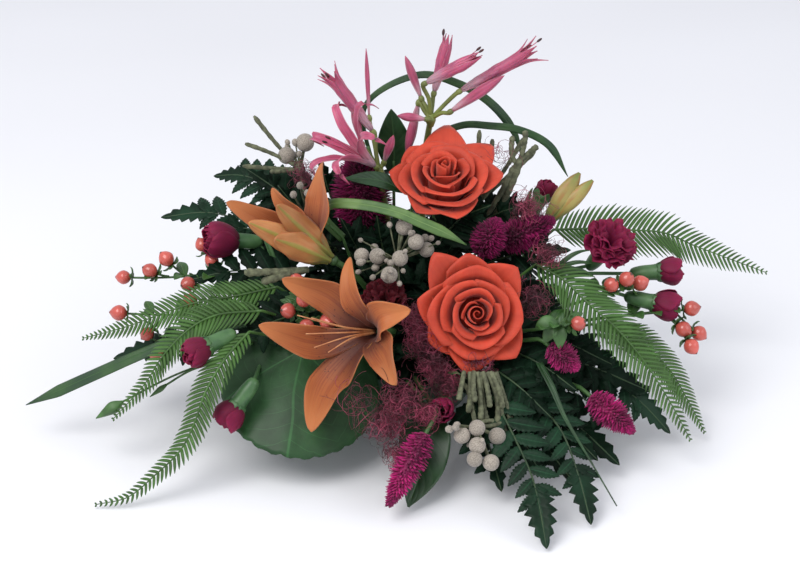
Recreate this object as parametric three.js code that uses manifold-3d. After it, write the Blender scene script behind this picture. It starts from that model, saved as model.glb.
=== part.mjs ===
// Low table arrangement of cut flowers and foliage, held by a block of floral foam in a shallow round bowl.
// Millimetres: x to the viewer's right, y away from the viewer, z up.
// The origin is the middle of the bowl's underside, where it stands on the table.
import * as THREE from 'three';
import { mergeVertices } from 'three/addons/utils/BufferGeometryUtils.js';
import Module from 'manifold-3d';

const wasm = await Module();
wasm.setup();

// Driving dimensions
const DISH = { foot: 54, rim: 75, height: 50, lip: { out: 3, down: 6 }, wall: 2.4, floor: 3, sides: 18 };
const FOAM = {
  foot: 46, waist: 63, waistHeight: 55, shoulder: 55, shoulderHeight: 76, crown: 36, top: 91, sides: 12,
};
const HEART = at(0, 0, 46);
const DOME = { across: 72, up: 52, lowest: 0.17 };
const STEM_DEPTH = 0.5;
const ENTRY_SPACING = 11;
const SPREADING_ROUNDS = 160;
const GAP = 0.32;
const PETAL = 0.9;
const LEAF = 0.8;
const LEAF_STALK = 1.3;
const SMALLEST_DETAIL = 0.04;

// Colours and finish of each kind of piece
const COLOURS = {
  dish: ['#24402c', 0.35], foam: ['#3c5a3a', 0.95], rose: ['#d9452b', 0.55], lily: ['#dd7f38', 0.5],
  lilyBud: ['#b9a24a', 0.5], nerine: ['#d6588c', 0.45], carnation: ['#94123f', 0.7],
  celosia: ['#a3145f', 0.85],
  hypericum: ['#cf5a4a', 0.35], brunia: ['#a39c8c', 0.85], stem: ['#4d7a36', 0.55], umbrella: ['#63963c', 0.55],
  leather: ['#1f4a31', 0.45], grass: ['#2f6a34', 0.45], galax: ['#1f5530', 0.3], salal: ['#24502f', 0.35],
};

function at(x, y, z) {
  return new THREE.Vector3(x, y, z);
}

// A closed solid from corner points and faces that point outwards
function solid(points, faces) {
  const vertProperties = Float32Array.from(points.flatMap((point) => point.toArray()));
  const triVerts = Uint32Array.from(faces.flat());
  return new wasm.Manifold(new wasm.Mesh({ numProp: 3, vertProperties, triVerts }));
}

// A closed solid from a three.js geometry, its shared corners merged
function solidOf(geometry) {
  geometry.deleteAttribute('normal');
  geometry.deleteAttribute('uv');
  const { index, attributes } = mergeVertices(geometry, 1e-4);
  const faces = [];
  for (let k = 0; k < index.count; k += 3) {
    const face = [index.getX(k), index.getX(k + 1), index.getX(k + 2)];
    if (new Set(face).size === 3) faces.push(...face);
  }
  const triVerts = Uint32Array.from(faces);
  const vertProperties = attributes.position.array;
  return new wasm.Manifold(new wasm.Mesh({ numProp: 3, vertProperties, triVerts }));
}

// Every shape below is a function of how far it is grown on all sides. Grown by nothing it is the piece itself,
// and grown by the gap it is the room that its neighbours leave for it.

// Rings of points joined into a closed body, with a flat cap at each end
function loft(ringsAt) {
  return (grow) => {
    const rings = ringsAt(grow);
    const count = rings[0].length;
    const last = (rings.length - 1) * count;
    const faces = [];
    for (let ring = 0; ring < rings.length - 1; ring++) {
      for (let side = 0; side < count; side++) {
        const a = ring * count + side;
        const b = ring * count + ((side + 1) % count);
        faces.push([a, b, b + count], [a, b + count, a + count]);
      }
    }
    for (let side = 1; side < count - 1; side++) {
      faces.push([0, side + 1, side], [last, last + side, last + side + 1]);
    }
    return solid(rings.flat(), faces);
  };
}

// Directions along a line of points, and two directions across it that turn as little as possible
function framesAlong(points) {
  const frames = [];
  let across = Math.abs(points[1].clone().sub(points[0]).normalize().z) > 0.8 ? at(1, 0, 0) : at(0, 0, 1);
  points.forEach((point, k) => {
    const before = points[Math.max(0, k - 1)];
    const after = points[Math.min(points.length - 1, k + 1)];
    const along = after.clone().sub(before).normalize();
    across = across.clone().addScaledVector(along, -across.dot(along)).normalize();
    frames.push({ point, along, across, up: along.clone().cross(across) });
  });
  return frames;
}

// A round stem or stalk along a route, its radius given as a function of the share of its length
function tube(route, radiusAt, sides = 5) {
  const frames = framesAlong(route);
  return loft((grow) => frames.map(({ point, along, across, up }, k) => {
    const radius = radiusAt(k / (frames.length - 1)) + grow;
    const end = k === 0 ? -grow : k === frames.length - 1 ? grow : 0;
    return Array.from({ length: sides }, (_, side) => {
      const angle = (2 * Math.PI * side) / sides;
      return point.clone().addScaledVector(along, end)
        .addScaledVector(across, radius * Math.cos(angle)).addScaledVector(up, radius * Math.sin(angle));
    });
  }));
}

// A thin closed sheet: the middle surface moved both ways by half the thickness, with the same triangles on both
// faces, and a wall along each free edge
function sheet(points, faces, thickness) {
  const normals = points.map(() => at(0, 0, 0));
  const freeEdges = new Map();
  for (const [a, b, c] of faces) {
    const normal = points[b].clone().sub(points[a]).cross(points[c].clone().sub(points[a]));
    for (const corner of [a, b, c]) normals[corner].add(normal);
    for (const [start, end] of [[a, b], [b, c], [c, a]]) {
      if (!freeEdges.delete(`${end} ${start}`)) freeEdges.set(`${start} ${end}`, [start, end]);
    }
  }
  normals.forEach((normal) => normal.normalize());
  const outwards = points.map(() => at(0, 0, 0));
  for (const [start, end] of freeEdges.values()) {
    const outward = points[end].clone().sub(points[start]).normalize().cross(normals[start]);
    outwards[start].add(outward);
    outwards[end].add(outward);
  }
  outwards.forEach((outward) => outward.normalize());
  const count = points.length;
  const walls = [...freeEdges.values()].flatMap(([a, b]) => [[b, a, a + count], [b, a + count, b + count]]);
  const backs = faces.map(([a, b, c]) => [a + count, c + count, b + count]);
  return (grow) => {
    const half = thickness / 2 + grow;
    const middle = points.map((point, k) => point.clone().addScaledVector(outwards[k], grow));
    const front = middle.map((point, k) => point.clone().addScaledVector(normals[k], half));
    const back = middle.map((point, k) => point.clone().addScaledVector(normals[k], -half));
    return solid([...front, ...back], [...faces, ...backs, ...walls]);
  };
}

// Triangles of a grid of rows and columns of points; a ring's last column joins its first
function gridFaces(rows, columns, ring = false) {
  const faces = [];
  for (let row = 0; row < rows - 1; row++) {
    for (let column = 0; column < (ring ? columns : columns - 1); column++) {
      const a = row * columns + column;
      const b = row * columns + ((column + 1) % columns);
      faces.push([a, b, b + columns], [a, b + columns, a + columns]);
    }
  }
  return faces;
}

// Points evenly along a smooth curve through the given points
function curve(points, segments) {
  return new THREE.CatmullRomCurve3(points, false, 'centripetal').getSpacedPoints(segments);
}

// The sideways direction and the upper side of a blade at each point of its route
function bladeFrames(route, facing) {
  return route.map((point, k) => {
    const along = route[Math.min(route.length - 1, k + 1)].clone().sub(route[Math.max(0, k - 1)]).normalize();
    const side = along.clone().cross(facing).normalize();
    return { point, along, side, up: side.clone().cross(along) };
  });
}

// A leaf: its width follows a function of the share of its length, and its edges lift by cup times the width.
// A leaf with no cup has no midrib either.
function blade(route, widthAt, facing, cup = 0) {
  const edges = cup ? [-1, 0, 1] : [-1, 1];
  const points = bladeFrames(route, facing).flatMap(({ point, side, up }, k) => {
    const half = widthAt(k / (route.length - 1)) / 2;
    return edges.map((edge) =>
      point.clone().addScaledVector(side, edge * half).addScaledVector(up, Math.abs(edge) * 2 * half * cup));
  });
  return sheet(points, gridFaces(route.length, edges.length), LEAF);
}

// A width that swells from a narrow base and tapers to a tip
function lanceolate(width, fullest = 0.45, base = 0.2) {
  return (share) => {
    const swell = share < fullest
      ? base + (1 - base) * Math.sin((Math.PI / 2) * (share / fullest))
      : Math.cos((Math.PI / 2) * ((share - fullest) / (1 - fullest))) ** 0.8;
    return Math.max(1, width * swell);
  };
}

// A berry or ball on its stalk, in one body: its radius swells at the end of the line from foot to centre
function stalkedBall(foot, centre, radius, stalk, sides = 5) {
  const axis = centre.clone().sub(foot).normalize();
  const frame = headFrame(centre, axis);
  const length = centre.distanceTo(foot);
  const profile = [[stalk, -length], [stalk, -radius], [radius, -radius * 0.1], [radius * 0.4, radius * 0.9]];
  return spun(frame, profile, sides);
}

// The place of a head whose own z axis points along the given axis
function headFrame(base, axis, turn = 0, size = 1) {
  const aim = new THREE.Quaternion().setFromUnitVectors(at(0, 0, 1), axis.clone().normalize());
  aim.multiply(new THREE.Quaternion().setFromAxisAngle(at(0, 0, 1), turn));
  return new THREE.Matrix4().compose(base, aim, at(size, size, size));
}

// A body turned about the z axis of a head's frame, from its radius at each height; odd sides may stand out
function spun(frame, profile, sides, teeth = 0) {
  return loft((grow) => profile.map(([radius, height], row) => Array.from({ length: sides }, (_, side) => {
    const reach = radius * (1 + (side % 2 ? teeth : -teeth)) + grow;
    const angle = (2 * Math.PI * side) / sides + row * teeth;
    const end = row === 0 ? -grow : row === profile.length - 1 ? grow : 0;
    return at(reach * Math.cos(angle), reach * Math.sin(angle), height + end).applyMatrix4(frame);
  })));
}

// Roses: layers of broad cupped petals with a rolled lip, standing out of a closed heart of tight petals
const ROSE_LAYERS = [
  { count: 3, foot: 11, reach: 25, rise: 39, lip: 0, drop: 0, spread: 1, turn: 0.9 },
  { count: 3, foot: 13, reach: 33, rise: 32, lip: 0, drop: 0, spread: 0.95, turn: 1.9 },
  { count: 5, foot: 13, reach: 38, rise: 23, lip: 8, drop: 4, spread: 0.6, turn: 0.75 },
];
const PETAL_EDGES = [-1, 0, 1];
const ROSE_HEART = [[4, 0], [18, 9], [13, 27], [1.5, 44]];
const PETAL_TUCK = 1.8;

function rosePetal(layer, angle, frame) {
  const { foot, reach, rise, lip, drop, spread } = layer;
  const rows = lip
    ? [[foot, 9, 0.35], [reach * 0.82, 9 + (rise - 9) * 0.35, 1], [reach, rise, 1],
      [reach + lip, rise - drop, 0.72]]
    : [[foot, 9, 0.5], [reach, rise, 0.8]];
  const points = rows.flatMap(([out, height, width], row) => PETAL_EDGES.map((share) => {
    const point = row === rows.length - 1 ? 1 - Math.abs(share) : 0;
    const turn = angle + share * spread * width;
    const radius = out + PETAL_TUCK * share + 2.5 * point;
    return at(radius * Math.cos(turn), radius * Math.sin(turn), height - 2 * share * share).applyMatrix4(frame);
  }));
  return sheet(points, gridFaces(rows.length, PETAL_EDGES.length), PETAL);
}

function roseBloom(frame) {
  const petals = ROSE_LAYERS.flatMap((layer) => Array.from({ length: layer.count }, (_, k) =>
    rosePetal(layer, layer.turn + (2 * Math.PI * k) / layer.count, frame)));
  return [spun(frame, ROSE_HEART, 5), ...petals];
}

// The green cup under a rose, with five pointed sepals spread below its petals
const CALYX = [[2.6, -14], [5.4, -8], [11, -4.5], [4.6, -0.7]];
const SEPAL_POINT = 0.42;

function roseCalyx(frame) {
  return [loft((grow) => CALYX.map(([radius, height], row) => Array.from({ length: 10 }, (_, side) => {
    const sepal = row === 2 ? (side % 2 ? SEPAL_POINT : -SEPAL_POINT) : 0;
    const reach = radius * (1 + sepal) + grow;
    const angle = (Math.PI * side) / 5;
    const sunk = row === 0 ? grow : 0;
    return at(reach * Math.cos(angle), reach * Math.sin(angle), height - 6 * Math.max(0, sepal) - sunk)
      .applyMatrix4(frame);
  })))];
}

// A flower of six petals in one sheet: the petals part at notches round the throat. Each petal is given by rows
// of points across it, from the row just outside the throat to the row before its tip, and by the tip.
function starSheet(notches, petals) {
  const points = [...notches];
  const faces = [[0, 1, 2], [0, 2, 3], [0, 3, 4], [0, 4, 5]];
  petals.forEach(({ rows, tip }, k) => {
    const next = (k + 1) % petals.length;
    const first = points.length;
    points.push(...rows.flat(), tip);
    const end = points.length - 1;
    if (rows[0].length === 2) faces.push([k, first, first + 1], [k, first + 1, next], [first, end, first + 1]);
    else {
      faces.push([k, first, first + 1], [k, first + 1, next], [next, first + 1, first + 2]);
      for (let row = 0; row < rows.length - 1; row++) {
        const a = first + 3 * row;
        faces.push([a, a + 3, a + 4], [a, a + 4, a + 1], [a + 1, a + 4, a + 5], [a + 1, a + 5, a + 2]);
      }
      faces.push([end - 3, end, end - 2], [end - 2, end, end - 1]);
    }
  });
  return sheet(points, faces, PETAL);
}

// Asiatic lily: six arched tepals spaced evenly round a narrow throat, and curved stamens with long anthers
const THROAT = { height: 17, radius: 8, foot: 3.4 };
const TEPAL_ROWS = [[0.3, 0.86], [0.6, 1], [0.82, 0.7]];

function lilyBloom({ base, axis, rise, tips, widths, stamens }) {
  const frame = headFrame(base, axis);
  const toLocal = frame.clone().invert();
  const bearing = (tip) => {
    const local = tip.clone().applyMatrix4(toLocal);
    return Math.atan2(local.y, local.x);
  };
  const order = tips.map((tip, k) => ({ tip, width: widths[k] }));
  order.sort((a, b) => bearing(a.tip) - bearing(b.tip));
  const offset = order.reduce((sum, { tip }, k) => sum + bearing(tip) - (Math.PI * k) / 3, 0) / order.length;
  const { height, radius, foot } = THROAT;
  const onRim = (angle, out, up) => at(out * Math.cos(angle), out * Math.sin(angle), up).applyMatrix4(frame);
  const notches = order.map((_, k) => onRim(offset + (Math.PI * (k - 0.5)) / 3, radius, height));
  const petals = order.map(({ tip, width }, k) => {
    const rim = onRim(offset + (Math.PI * k) / 3, radius, height);
    const reach = tip.clone().sub(base);
    const out = reach.clone().addScaledVector(axis, -reach.dot(axis));
    const belly = base.clone().addScaledVector(axis, rise).addScaledVector(out, 0.58);
    const line = new THREE.CatmullRomCurve3([rim, belly, tip], false, 'centripetal');
    const inside = axis.clone().addScaledVector(out.clone().normalize(), -0.8);
    const rows = TEPAL_ROWS.map(([share, swell]) => {
      const point = line.getPointAt(share);
      const side = line.getTangentAt(share).cross(inside).normalize();
      const lift = side.clone().cross(line.getTangentAt(share)).multiplyScalar(width * 0.1);
      const half = (width * swell) / 2;
      return [-1, 0, 1].map((edge) =>
        point.clone().addScaledVector(side, edge * -half).addScaledVector(lift, Math.abs(edge)));
    });
    return { rows, tip };
  });
  const threads = stamens.map((bend) => stamen(base, axis, bend));
  const throat = spun(frame, [[foot, 0], [foot + 1, height * 0.4], [radius * 0.8, height + 1]], 6);
  return [throat, starSheet(notches, petals), ...threads];
}

const STAMEN = { length: 60, thread: 0.9, anther: 1.9 };

function stamen(base, axis, bend) {
  const foot = base.clone().addScaledVector(axis, THROAT.height * 0.9).addScaledVector(bend, 0.12);
  const middle = base.clone().addScaledVector(axis, STAMEN.length * 0.65).addScaledVector(bend, 0.4);
  const end = base.clone().addScaledVector(axis, STAMEN.length).add(bend);
  return tube([foot, middle, end], (share) => (share > 0.9 ? STAMEN.anther : STAMEN.thread), 3);
}

// Nerine floret: a slim pedicel, a short throat and six narrow tepals that curl back at their tips
const NERINE_TEPAL = { width: 4.4, throat: 2.4, middle: 0.6 };
// How far the tips of a floret's tepals stand from its axis, for every other tepal in turn
const FLARES = { closed: [3.2, 4.6], parted: [8, 12], wide: [30, 36] };
const NERINE_BUD_RADII = [1, 1.4, 3.6, 0.7];
const PEDICEL = 1.1;
const PEDICEL_ROOT = 0.08;

function nerineFloret(hub, throat, tip, flares, turn) {
  const axis = tip.clone().sub(throat).normalize();
  const length = tip.distanceTo(throat);
  const frame = headFrame(throat, axis, turn);
  const { width, middle } = NERINE_TEPAL;
  const spot = (angle, out, side, up) => at(out, side, up).applyAxisAngle(at(0, 0, 1), angle).applyMatrix4(frame);
  const notches = Array.from({ length: 6 }, (_, k) =>
    spot((Math.PI * (k - 0.5)) / 3, NERINE_TEPAL.throat, 0, length * 0.16));
  const petals = notches.map((_, k) => {
    const angle = (Math.PI * k) / 3;
    const flare = flares[k % 2];
    const row = [-1, 1].map((edge) => spot(angle, flare * 0.5, (edge * width) / 2, length * middle));
    return { rows: [row], tip: spot(angle, flare, 0, length * (1 - 0.08 * (k % 2))) };
  });
  const end = throat.clone().addScaledVector(axis, length * 0.18);
  const pedicel = tube([hub.clone().lerp(throat, PEDICEL_ROOT), throat, end],
    (share) => PEDICEL + (NERINE_TEPAL.throat - 1.2) * share, 3);
  return [pedicel, starSheet(notches, petals)];
}

function nerineBud(hub, throat, tip) {
  const route = [hub.clone().lerp(throat, PEDICEL_ROOT), throat, throat.clone().lerp(tip, 0.5), tip];
  return tube(route, (share) => NERINE_BUD_RADII[Math.round(share * 3)], 4);
}

// Carnation: a slim cup with a toothed crown of petals, and a ruffled ring of petals standing out of it
function ruffle(frame, radius, height, lobes) {
  const rows = [[0.2, 0.6, 0], [1, 1, 0.13]];
  const points = rows.flatMap(([out, up, zigzag]) => Array.from({ length: lobes }, (_, k) => {
    const angle = (2 * Math.PI * k) / lobes;
    const swing = (k % 2 ? zigzag : -zigzag) * radius;
    const reach = out * radius + swing;
    return at(reach * Math.cos(angle), reach * Math.sin(angle), up * height + swing)
      .applyMatrix4(frame);
  }));
  return sheet(points, gridFaces(rows.length, lobes, true), PETAL);
}

function carnationHead(base, axis, radius, open) {
  const frame = headFrame(base, axis, radius);
  const cup = [[1.6, -16], [4.8, -9]];
  if (!open) {
    const bud = [[4.8, 0], [radius * 0.95, radius * 0.75], [radius * 0.8, radius * 1.6],
      [radius * 0.3, radius * 1.7]];
    return [spun(frame, [...cup, ...bud], 6, 0.06)];
  }
  const height = radius * 0.9;
  const core = [...cup, [radius * 0.45, height * 0.3], [radius * 0.78, height * 1.05], [3, height * 0.95]];
  return [spun(frame, core, 8, 0.16), ruffle(frame, radius, height * 0.55, 10)];
}

// Cockscomb plume: a tapering spike covered in pointed florets that lean towards the tip
const PLUME_ROWS = 7;
const PLUME_SIDES = 8;

function plume(base, tip, radius) {
  const route = Array.from({ length: PLUME_ROWS + 1 }, (_, k) => base.clone().lerp(tip, k / PLUME_ROWS));
  const frames = framesAlong(route);
  return loft((grow) => frames.map(({ point, along, across, up }, row) => {
    const share = row / PLUME_ROWS;
    const body = radius * Math.sin(Math.PI * (0.16 + 0.8 * share)) ** 0.7 * (1 - 0.35 * share);
    return Array.from({ length: PLUME_SIDES }, (_, side) => {
      const floret = (side + row) % 2 === 1;
      const angle = (2 * Math.PI * side) / PLUME_SIDES;
      const reach = body * (floret ? 1.22 : 0.76) + grow;
      return point.clone().addScaledVector(along, floret ? 2.2 : 0)
        .addScaledVector(across, reach * Math.cos(angle)).addScaledVector(up, reach * Math.sin(angle));
    });
  }));
}

// Umbrella fern: a rib with a comb of pointed leaflets on both sides, all in one thin arched blade
function combFrond(route, facing, leaflets, longest) {
  const frames = bladeFrames(curve(route, leaflets), facing);
  const points = frames.flatMap(({ point, side }, k) => {
    const half = 1.5 - (1.1 * k) / leaflets;
    return [point.clone().addScaledVector(side, -half), point.clone().addScaledVector(side, half)];
  });
  const faces = gridFaces(frames.length, 2);
  for (let k = 1; k < leaflets - 1; k++) {
    const share = (k + 0.5) / leaflets;
    const length = longest * Math.min(1, 0.45 + 2.6 * share) * (1 - share ** 2.2) + 2;
    const { point, along, side, up } = frames[k];
    for (const hand of [-1, 1]) {
      const tip = point.clone().addScaledVector(side, hand * length).addScaledVector(along, length * 0.55)
        .addScaledVector(up, -length * 0.12);
      const inner = 2 * k + (hand > 0 ? 1 : 0);
      points.push(tip);
      faces.push(hand > 0 ? [inner, points.length - 1, inner + 2] : [inner + 2, points.length - 1, inner]);
    }
  }
  return sheet(points, faces, LEAF);
}

const LEATHER_LEAFLET = { lean: 0.5, breadth: 0.37, fullest: 0.42, skew: 0.08, droop: 0.14, shortest: 5 };

// Leatherleaf fern: a triangular frond whose pointed side fronds narrow at the rib and part from each other
function leatherFrond(route, facing, pairs, longest) {
  const frames = bladeFrames(curve(route, pairs), facing);
  const points = frames.flatMap(({ point, side }) =>
    [-1.4, 1.4].map((half) => point.clone().addScaledVector(side, half)));
  const faces = gridFaces(frames.length, 2);
  for (let k = 1; k < pairs; k++) {
    const { point, along, side, up } = frames[k];
    const next = frames[k + 1].point;
    const spacing = next.distanceTo(point);
    const length = longest * (1 - k / pairs) ** 0.8 + LEATHER_LEAFLET.shortest;
    for (const hand of [-1, 1]) {
      const lean = along.clone().multiplyScalar(LEATHER_LEAFLET.lean).addScaledVector(side, hand).normalize();
      const cross = up.clone().cross(lean).multiplyScalar(hand * spacing * LEATHER_LEAFLET.breadth);
      const middle = point.clone().lerp(next, 0.5);
      const rung = [-1, 1].map((edge) => middle.clone().addScaledVector(up, -length * LEATHER_LEAFLET.droop / 3)
        .addScaledVector(lean, length * (LEATHER_LEAFLET.fullest - LEATHER_LEAFLET.skew * edge))
        .addScaledVector(cross, edge));
      const inner = 2 * k + (hand > 0 ? 1 : 0);
      const first = points.length;
      const tip = middle.addScaledVector(lean, length).addScaledVector(up, -length * LEATHER_LEAFLET.droop);
      points.push(...rung, tip);
      const strip = [[inner, first, inner + 2], [inner + 2, first, first + 1], [first, first + 2, first + 1]];
      faces.push(...(hand > 0 ? strip : strip.map(([a, b, c]) => [a, c, b])));
    }
  }
  return sheet(points, faces, LEAF);
}

// Where each stem enters the foam: on the line from the heart of the foam to its head, never lower than just
// above the bowl's rim, and pushed apart until neighbours stand at least the entry spacing apart
function onDome(heading) {
  return at(heading.x * DOME.across, heading.y * DOME.across, heading.z * DOME.up).add(HEART);
}

function spreadHeadings(targets) {
  const headings = targets.map((target) => target.clone().sub(HEART).normalize());
  for (let round = 0; round < SPREADING_ROUNDS; round++) {
    for (let i = 0; i < headings.length; i++) {
      for (let j = i + 1; j < headings.length; j++) {
        const apart = onDome(headings[j]).sub(onDome(headings[i]));
        const push = (ENTRY_SPACING - apart.length()) / (4 * DOME.across);
        if (push <= 0) continue;
        apart.normalize();
        headings[i].addScaledVector(apart, -push).normalize();
        headings[j].addScaledVector(apart, push).normalize();
      }
    }
    for (const heading of headings) {
      if (heading.z < DOME.lowest) heading.setZ(DOME.lowest).normalize();
    }
  }
  return headings;
}

// The arrangement's plants, the most solid heads first: each later one is trimmed where it would touch an
// earlier one. via and into lead the cut stem from the foam to the piece that it carries.
const plants = [];

function addPlant(name, colour, stem, body, branches = []) {
  plants.push({ name, colour, stem, body, branches });
}

// Roses
const ROSES = [
  { name: 'rose_upper', base: at(34, -6, 172), axis: at(0, -0.45, 0.89), turn: 0.5, size: 1,
    via: at(30, 8, 130) },
  { name: 'rose_lower', base: at(55, -82, 109), axis: at(0.05, -0.9, 0.42), turn: 0.2, size: 1,
    via: at(48, -52, 96) },
];
for (const { name, base, axis, turn, size, via } of ROSES) {
  const frame = headFrame(base, axis, turn, size);
  const neck = at(0, 0, -12).applyMatrix4(frame);
  addPlant(`${name}_bloom`, 'rose', null, roseBloom(frame));
  addPlant(`${name}_stem`, 'stem', { radius: 2.5, via: [via], into: [neck] }, roseCalyx(frame));
}

// Lilies
const OPEN_LILY = {
  base: at(-15, -97, 101), axis: at(-0.5, -0.78, 0.37).normalize(), rise: 34,
  tips: [at(-87, -105, 147), at(-38, -92, 158), at(5, -130, 134), at(-102, -140, 127), at(-65, -172, 59),
    at(-5, -165, 93)],
  widths: [26, 18, 23, 24, 27, 23],
  stamens: [at(-20, 4, 10), at(-24, -2, 0), at(-18, -6, -9), at(-8, -4, -14), at(-30, 0, 14)],
};
const HALF_LILY = {
  base: at(-52, -58, 143), axis: at(-0.72, -0.2, 0.6).normalize(), rise: 34,
  tips: [at(-61, -30, 211), at(-131, -60, 192), at(-113, -75, 181), at(-93, -88, 173), at(-92, -63, 193),
    at(-99, -40, 194)],
  widths: [18, 18, 19, 19, 15, 17],
  stamens: [],
};
addPlant('lily_open_bloom', 'lily', null, lilyBloom(OPEN_LILY));
addPlant('lily_half_bloom', 'lily', null, lilyBloom(HALF_LILY));
const LILY_FORK = at(-14, -36, 90);
const LILY_BENDS = [[OPEN_LILY, at(-9, -62, 80)], [HALF_LILY, at(-25, -46, 112)]];
const lilyForks = LILY_BENDS.map(([{ base, axis }, bend]) => {
  const neck = base.clone().addScaledVector(axis, -2 * GAP);
  return tube(curve([LILY_FORK, bend, base.clone().addScaledVector(axis, -20), neck], 4), () => 2.3, 5);
});
addPlant('lily_stem', 'stem', { radius: 2.6, via: [], into: [LILY_FORK] }, [], lilyForks);

// Nerines: the hub is where the pedicels meet at the top of the stalk
const NERINES = [
  {
    name: 'nerine_right', hub: at(24, 30, 224), via: [at(18, 34, 130), at(19, 36, 185)],
    florets: [[at(48, 24, 250), at(106, 18, 286), FLARES.parted],
      [at(27, 34, 246), at(38, 40, 290), FLARES.closed], [at(21, 22, 257), at(62, 14, 282), FLARES.closed]],
    buds: [[at(16, 36, 241), at(4, 42, 272)], [at(41, 20, 235), at(80, 12, 266)],
      [at(19, 22, 227), at(-2, 16, 232)], [at(14, 36, 233), at(5, 34, 192)]],
  },
  {
    name: 'nerine_left', hub: at(-16, 8, 187), via: [at(-8, 16, 130)],
    florets: [[at(-22, 14, 221), at(-57, 16, 270), FLARES.parted],
      [at(-20, 2, 196), at(-50, -16, 228), FLARES.wide]],
    buds: [[at(-12, 8, 198), at(-5, 2, 221)], [at(-24, 16, 232), at(-26, 20, 285)],
      [at(-30, 12, 212), at(-37, 18, 240)]],
  },
];
for (const { name, hub, via, florets, buds } of NERINES) {
  const heads = florets.flatMap(([throat, tip, flares], k) =>
    nerineFloret(hub, throat, tip, flares, k * 0.4));
  const tight = buds.map(([throat, tip]) => nerineBud(hub, throat, tip));
  const hubKnob = spun(headFrame(hub, at(0, 0, 1)), [[2.8, -4], [4.4, 0], [2.6, 4]], 5);
  addPlant(name, 'nerine', { radius: 2.8, via, into: [hub] }, [hubKnob, ...heads, ...tight]);
}

// Carnation sprays: each head stands at the end of its own fork of the stem
const CARNATIONS = [
  {
    name: 'carnation_left_open', fork: at(-98, 8, 100),
    heads: [[at(-133, 12, 128), at(-0.9, -0.35, 0.2), 14, false]],
  },
  {
    name: 'carnation_left_buds', fork: at(-104, -56, 66),
    heads: [[at(-143, -124, 102), at(-0.8, -0.5, -0.2), 10.5, false],
      [at(-121, -142, 62), at(-0.6, -0.35, -0.72), 11, false]],
  },
  {
    name: 'carnation_right', fork: at(122, -2, 106),
    heads: [[at(160, -4, 125), at(0.35, -0.5, 0.75), 22, true],
      [at(207, -4, 108), at(0.99, -0.05, 0.1), 10.5, false],
      [at(201, -26, 91), at(0.95, -0.2, -0.15), 11.5, false]],
  },
  { name: 'carnation_back', fork: at(98, 28, 132), heads: [[at(114, 34, 158), at(0.5, 0.1, 0.85), 7.5, false]] },
  { name: 'carnation_centre', fork: at(6, -54, 96), heads: [[at(-12, -70, 108), at(0, -0.6, 0.8), 17, true]] },
  { name: 'carnation_low', fork: at(28, -108, 60), heads: [[at(32, -136, 58), at(-0.1, -0.97, 0.2), 9, false]] },
];
for (const { name, fork, heads } of CARNATIONS) {
  const branches = heads.map(([base, axis]) => {
    const back = base.clone().addScaledVector(axis.clone().normalize(), -14);
    return tube([fork, back.clone().lerp(fork, 0.3), back], () => 1.4, 3);
  });
  const body = heads.flatMap(([base, axis, radius, open]) => carnationHead(base, axis, radius, open));
  addPlant(name, 'carnation', { radius: 1.5, via: [], into: [fork] }, body, branches);
}

// Cockscomb plumes, each from its base to its tip
const PLUMES = [
  ['celosia_back_left', at(-28, 20, 134), at(-34, 16, 200), 25],
  ['celosia_back_centre', at(62, -46, 142), at(74, -50, 171), 14],
  ['celosia_back_right', at(78, -30, 144), at(117, -36, 166), 14],
  ['celosia_right', at(112, -104, 92), at(132, -118, 81), 11],
  ['celosia_low_right', at(144, -118, 56), at(172, -146, 43), 12],
  ['celosia_low', at(18, -164, 50), at(-8, -205, 16), 12],
];
for (const [name, base, tip, radius] of PLUMES) {
  const back = base.clone().lerp(tip, -0.35);
  const stem = { radius: 1.9, via: [], into: [back, base.clone().lerp(tip, 0.15)] };
  addPlant(name, 'celosia', stem, [plume(base, tip, radius)]);
}

function middleOf(points) {
  return points.reduce((sum, point) => sum.addScaledVector(point, 1 / points.length), at(0, 0, 0));
}

const BRUNIA_KNOB = 6;

// Brunia: silvery balls on short stalks, or felted twigs, on a forked woody stem
const BRUNIAS = [
  {
    name: 'brunia_centre', fork: at(-2, -48, 124), thick: 6,
    balls: [at(-29, -60, 147), at(-17, -68, 150), at(0, -72, 150), at(12, -64, 160), at(20, -58, 151),
      at(3, -54, 168), at(-8, -80, 140)],
    twigs: [],
  },
  {
    name: 'brunia_low', fork: at(50, -128, 70), thick: 6,
    balls: [at(56, -168, 58), at(45, -170, 53), at(56, -176, 48), at(54, -182, 40), at(66, -180, 36),
      at(71, -164, 49)],
    twigs: [at(70, -150, 53), at(83, -146, 53)],
  },
  {
    name: 'brunia_back_left', fork: at(-72, 34, 140), thick: 7,
    balls: [at(-91, 50, 186), at(-76, 50, 197)],
    twigs: [at(-117, 60, 216), at(-124, 50, 196), at(-126, 42, 180), at(-104, 40, 176)],
  },
  {
    name: 'brunia_back_right', fork: at(62, 24, 150), thick: 4,
    balls: [], twigs: [at(63, 38, 212), at(73, 34, 206), at(97, 30, 208), at(107, 32, 196)],
  },
];
for (const { name, fork, thick, balls, twigs } of BRUNIAS) {
  const crown = balls.length ? fork.clone().lerp(middleOf(balls), 0.7) : fork.clone().add(at(0, 0, 5));
  const knob = spun(headFrame(crown, crown.clone().sub(fork)),
    [[2, -9], [BRUNIA_KNOB, -2], [BRUNIA_KNOB * 0.7, 4]], 5);
  const heads = balls.map((centre) => stalkedBall(crown.clone().lerp(centre, 0.15), centre, thick, 1.2));
  const felted = twigs.map((tip) =>
    tube([crown, crown.clone().lerp(tip, 0.5).add(at(0, 0, -2)), tip], (share) => 2.6 - 1.1 * share, 3));
  addPlant(name, 'brunia', { radius: 1.8, via: [], into: [fork, crown] }, [knob, ...heads, ...felted]);
}

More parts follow.
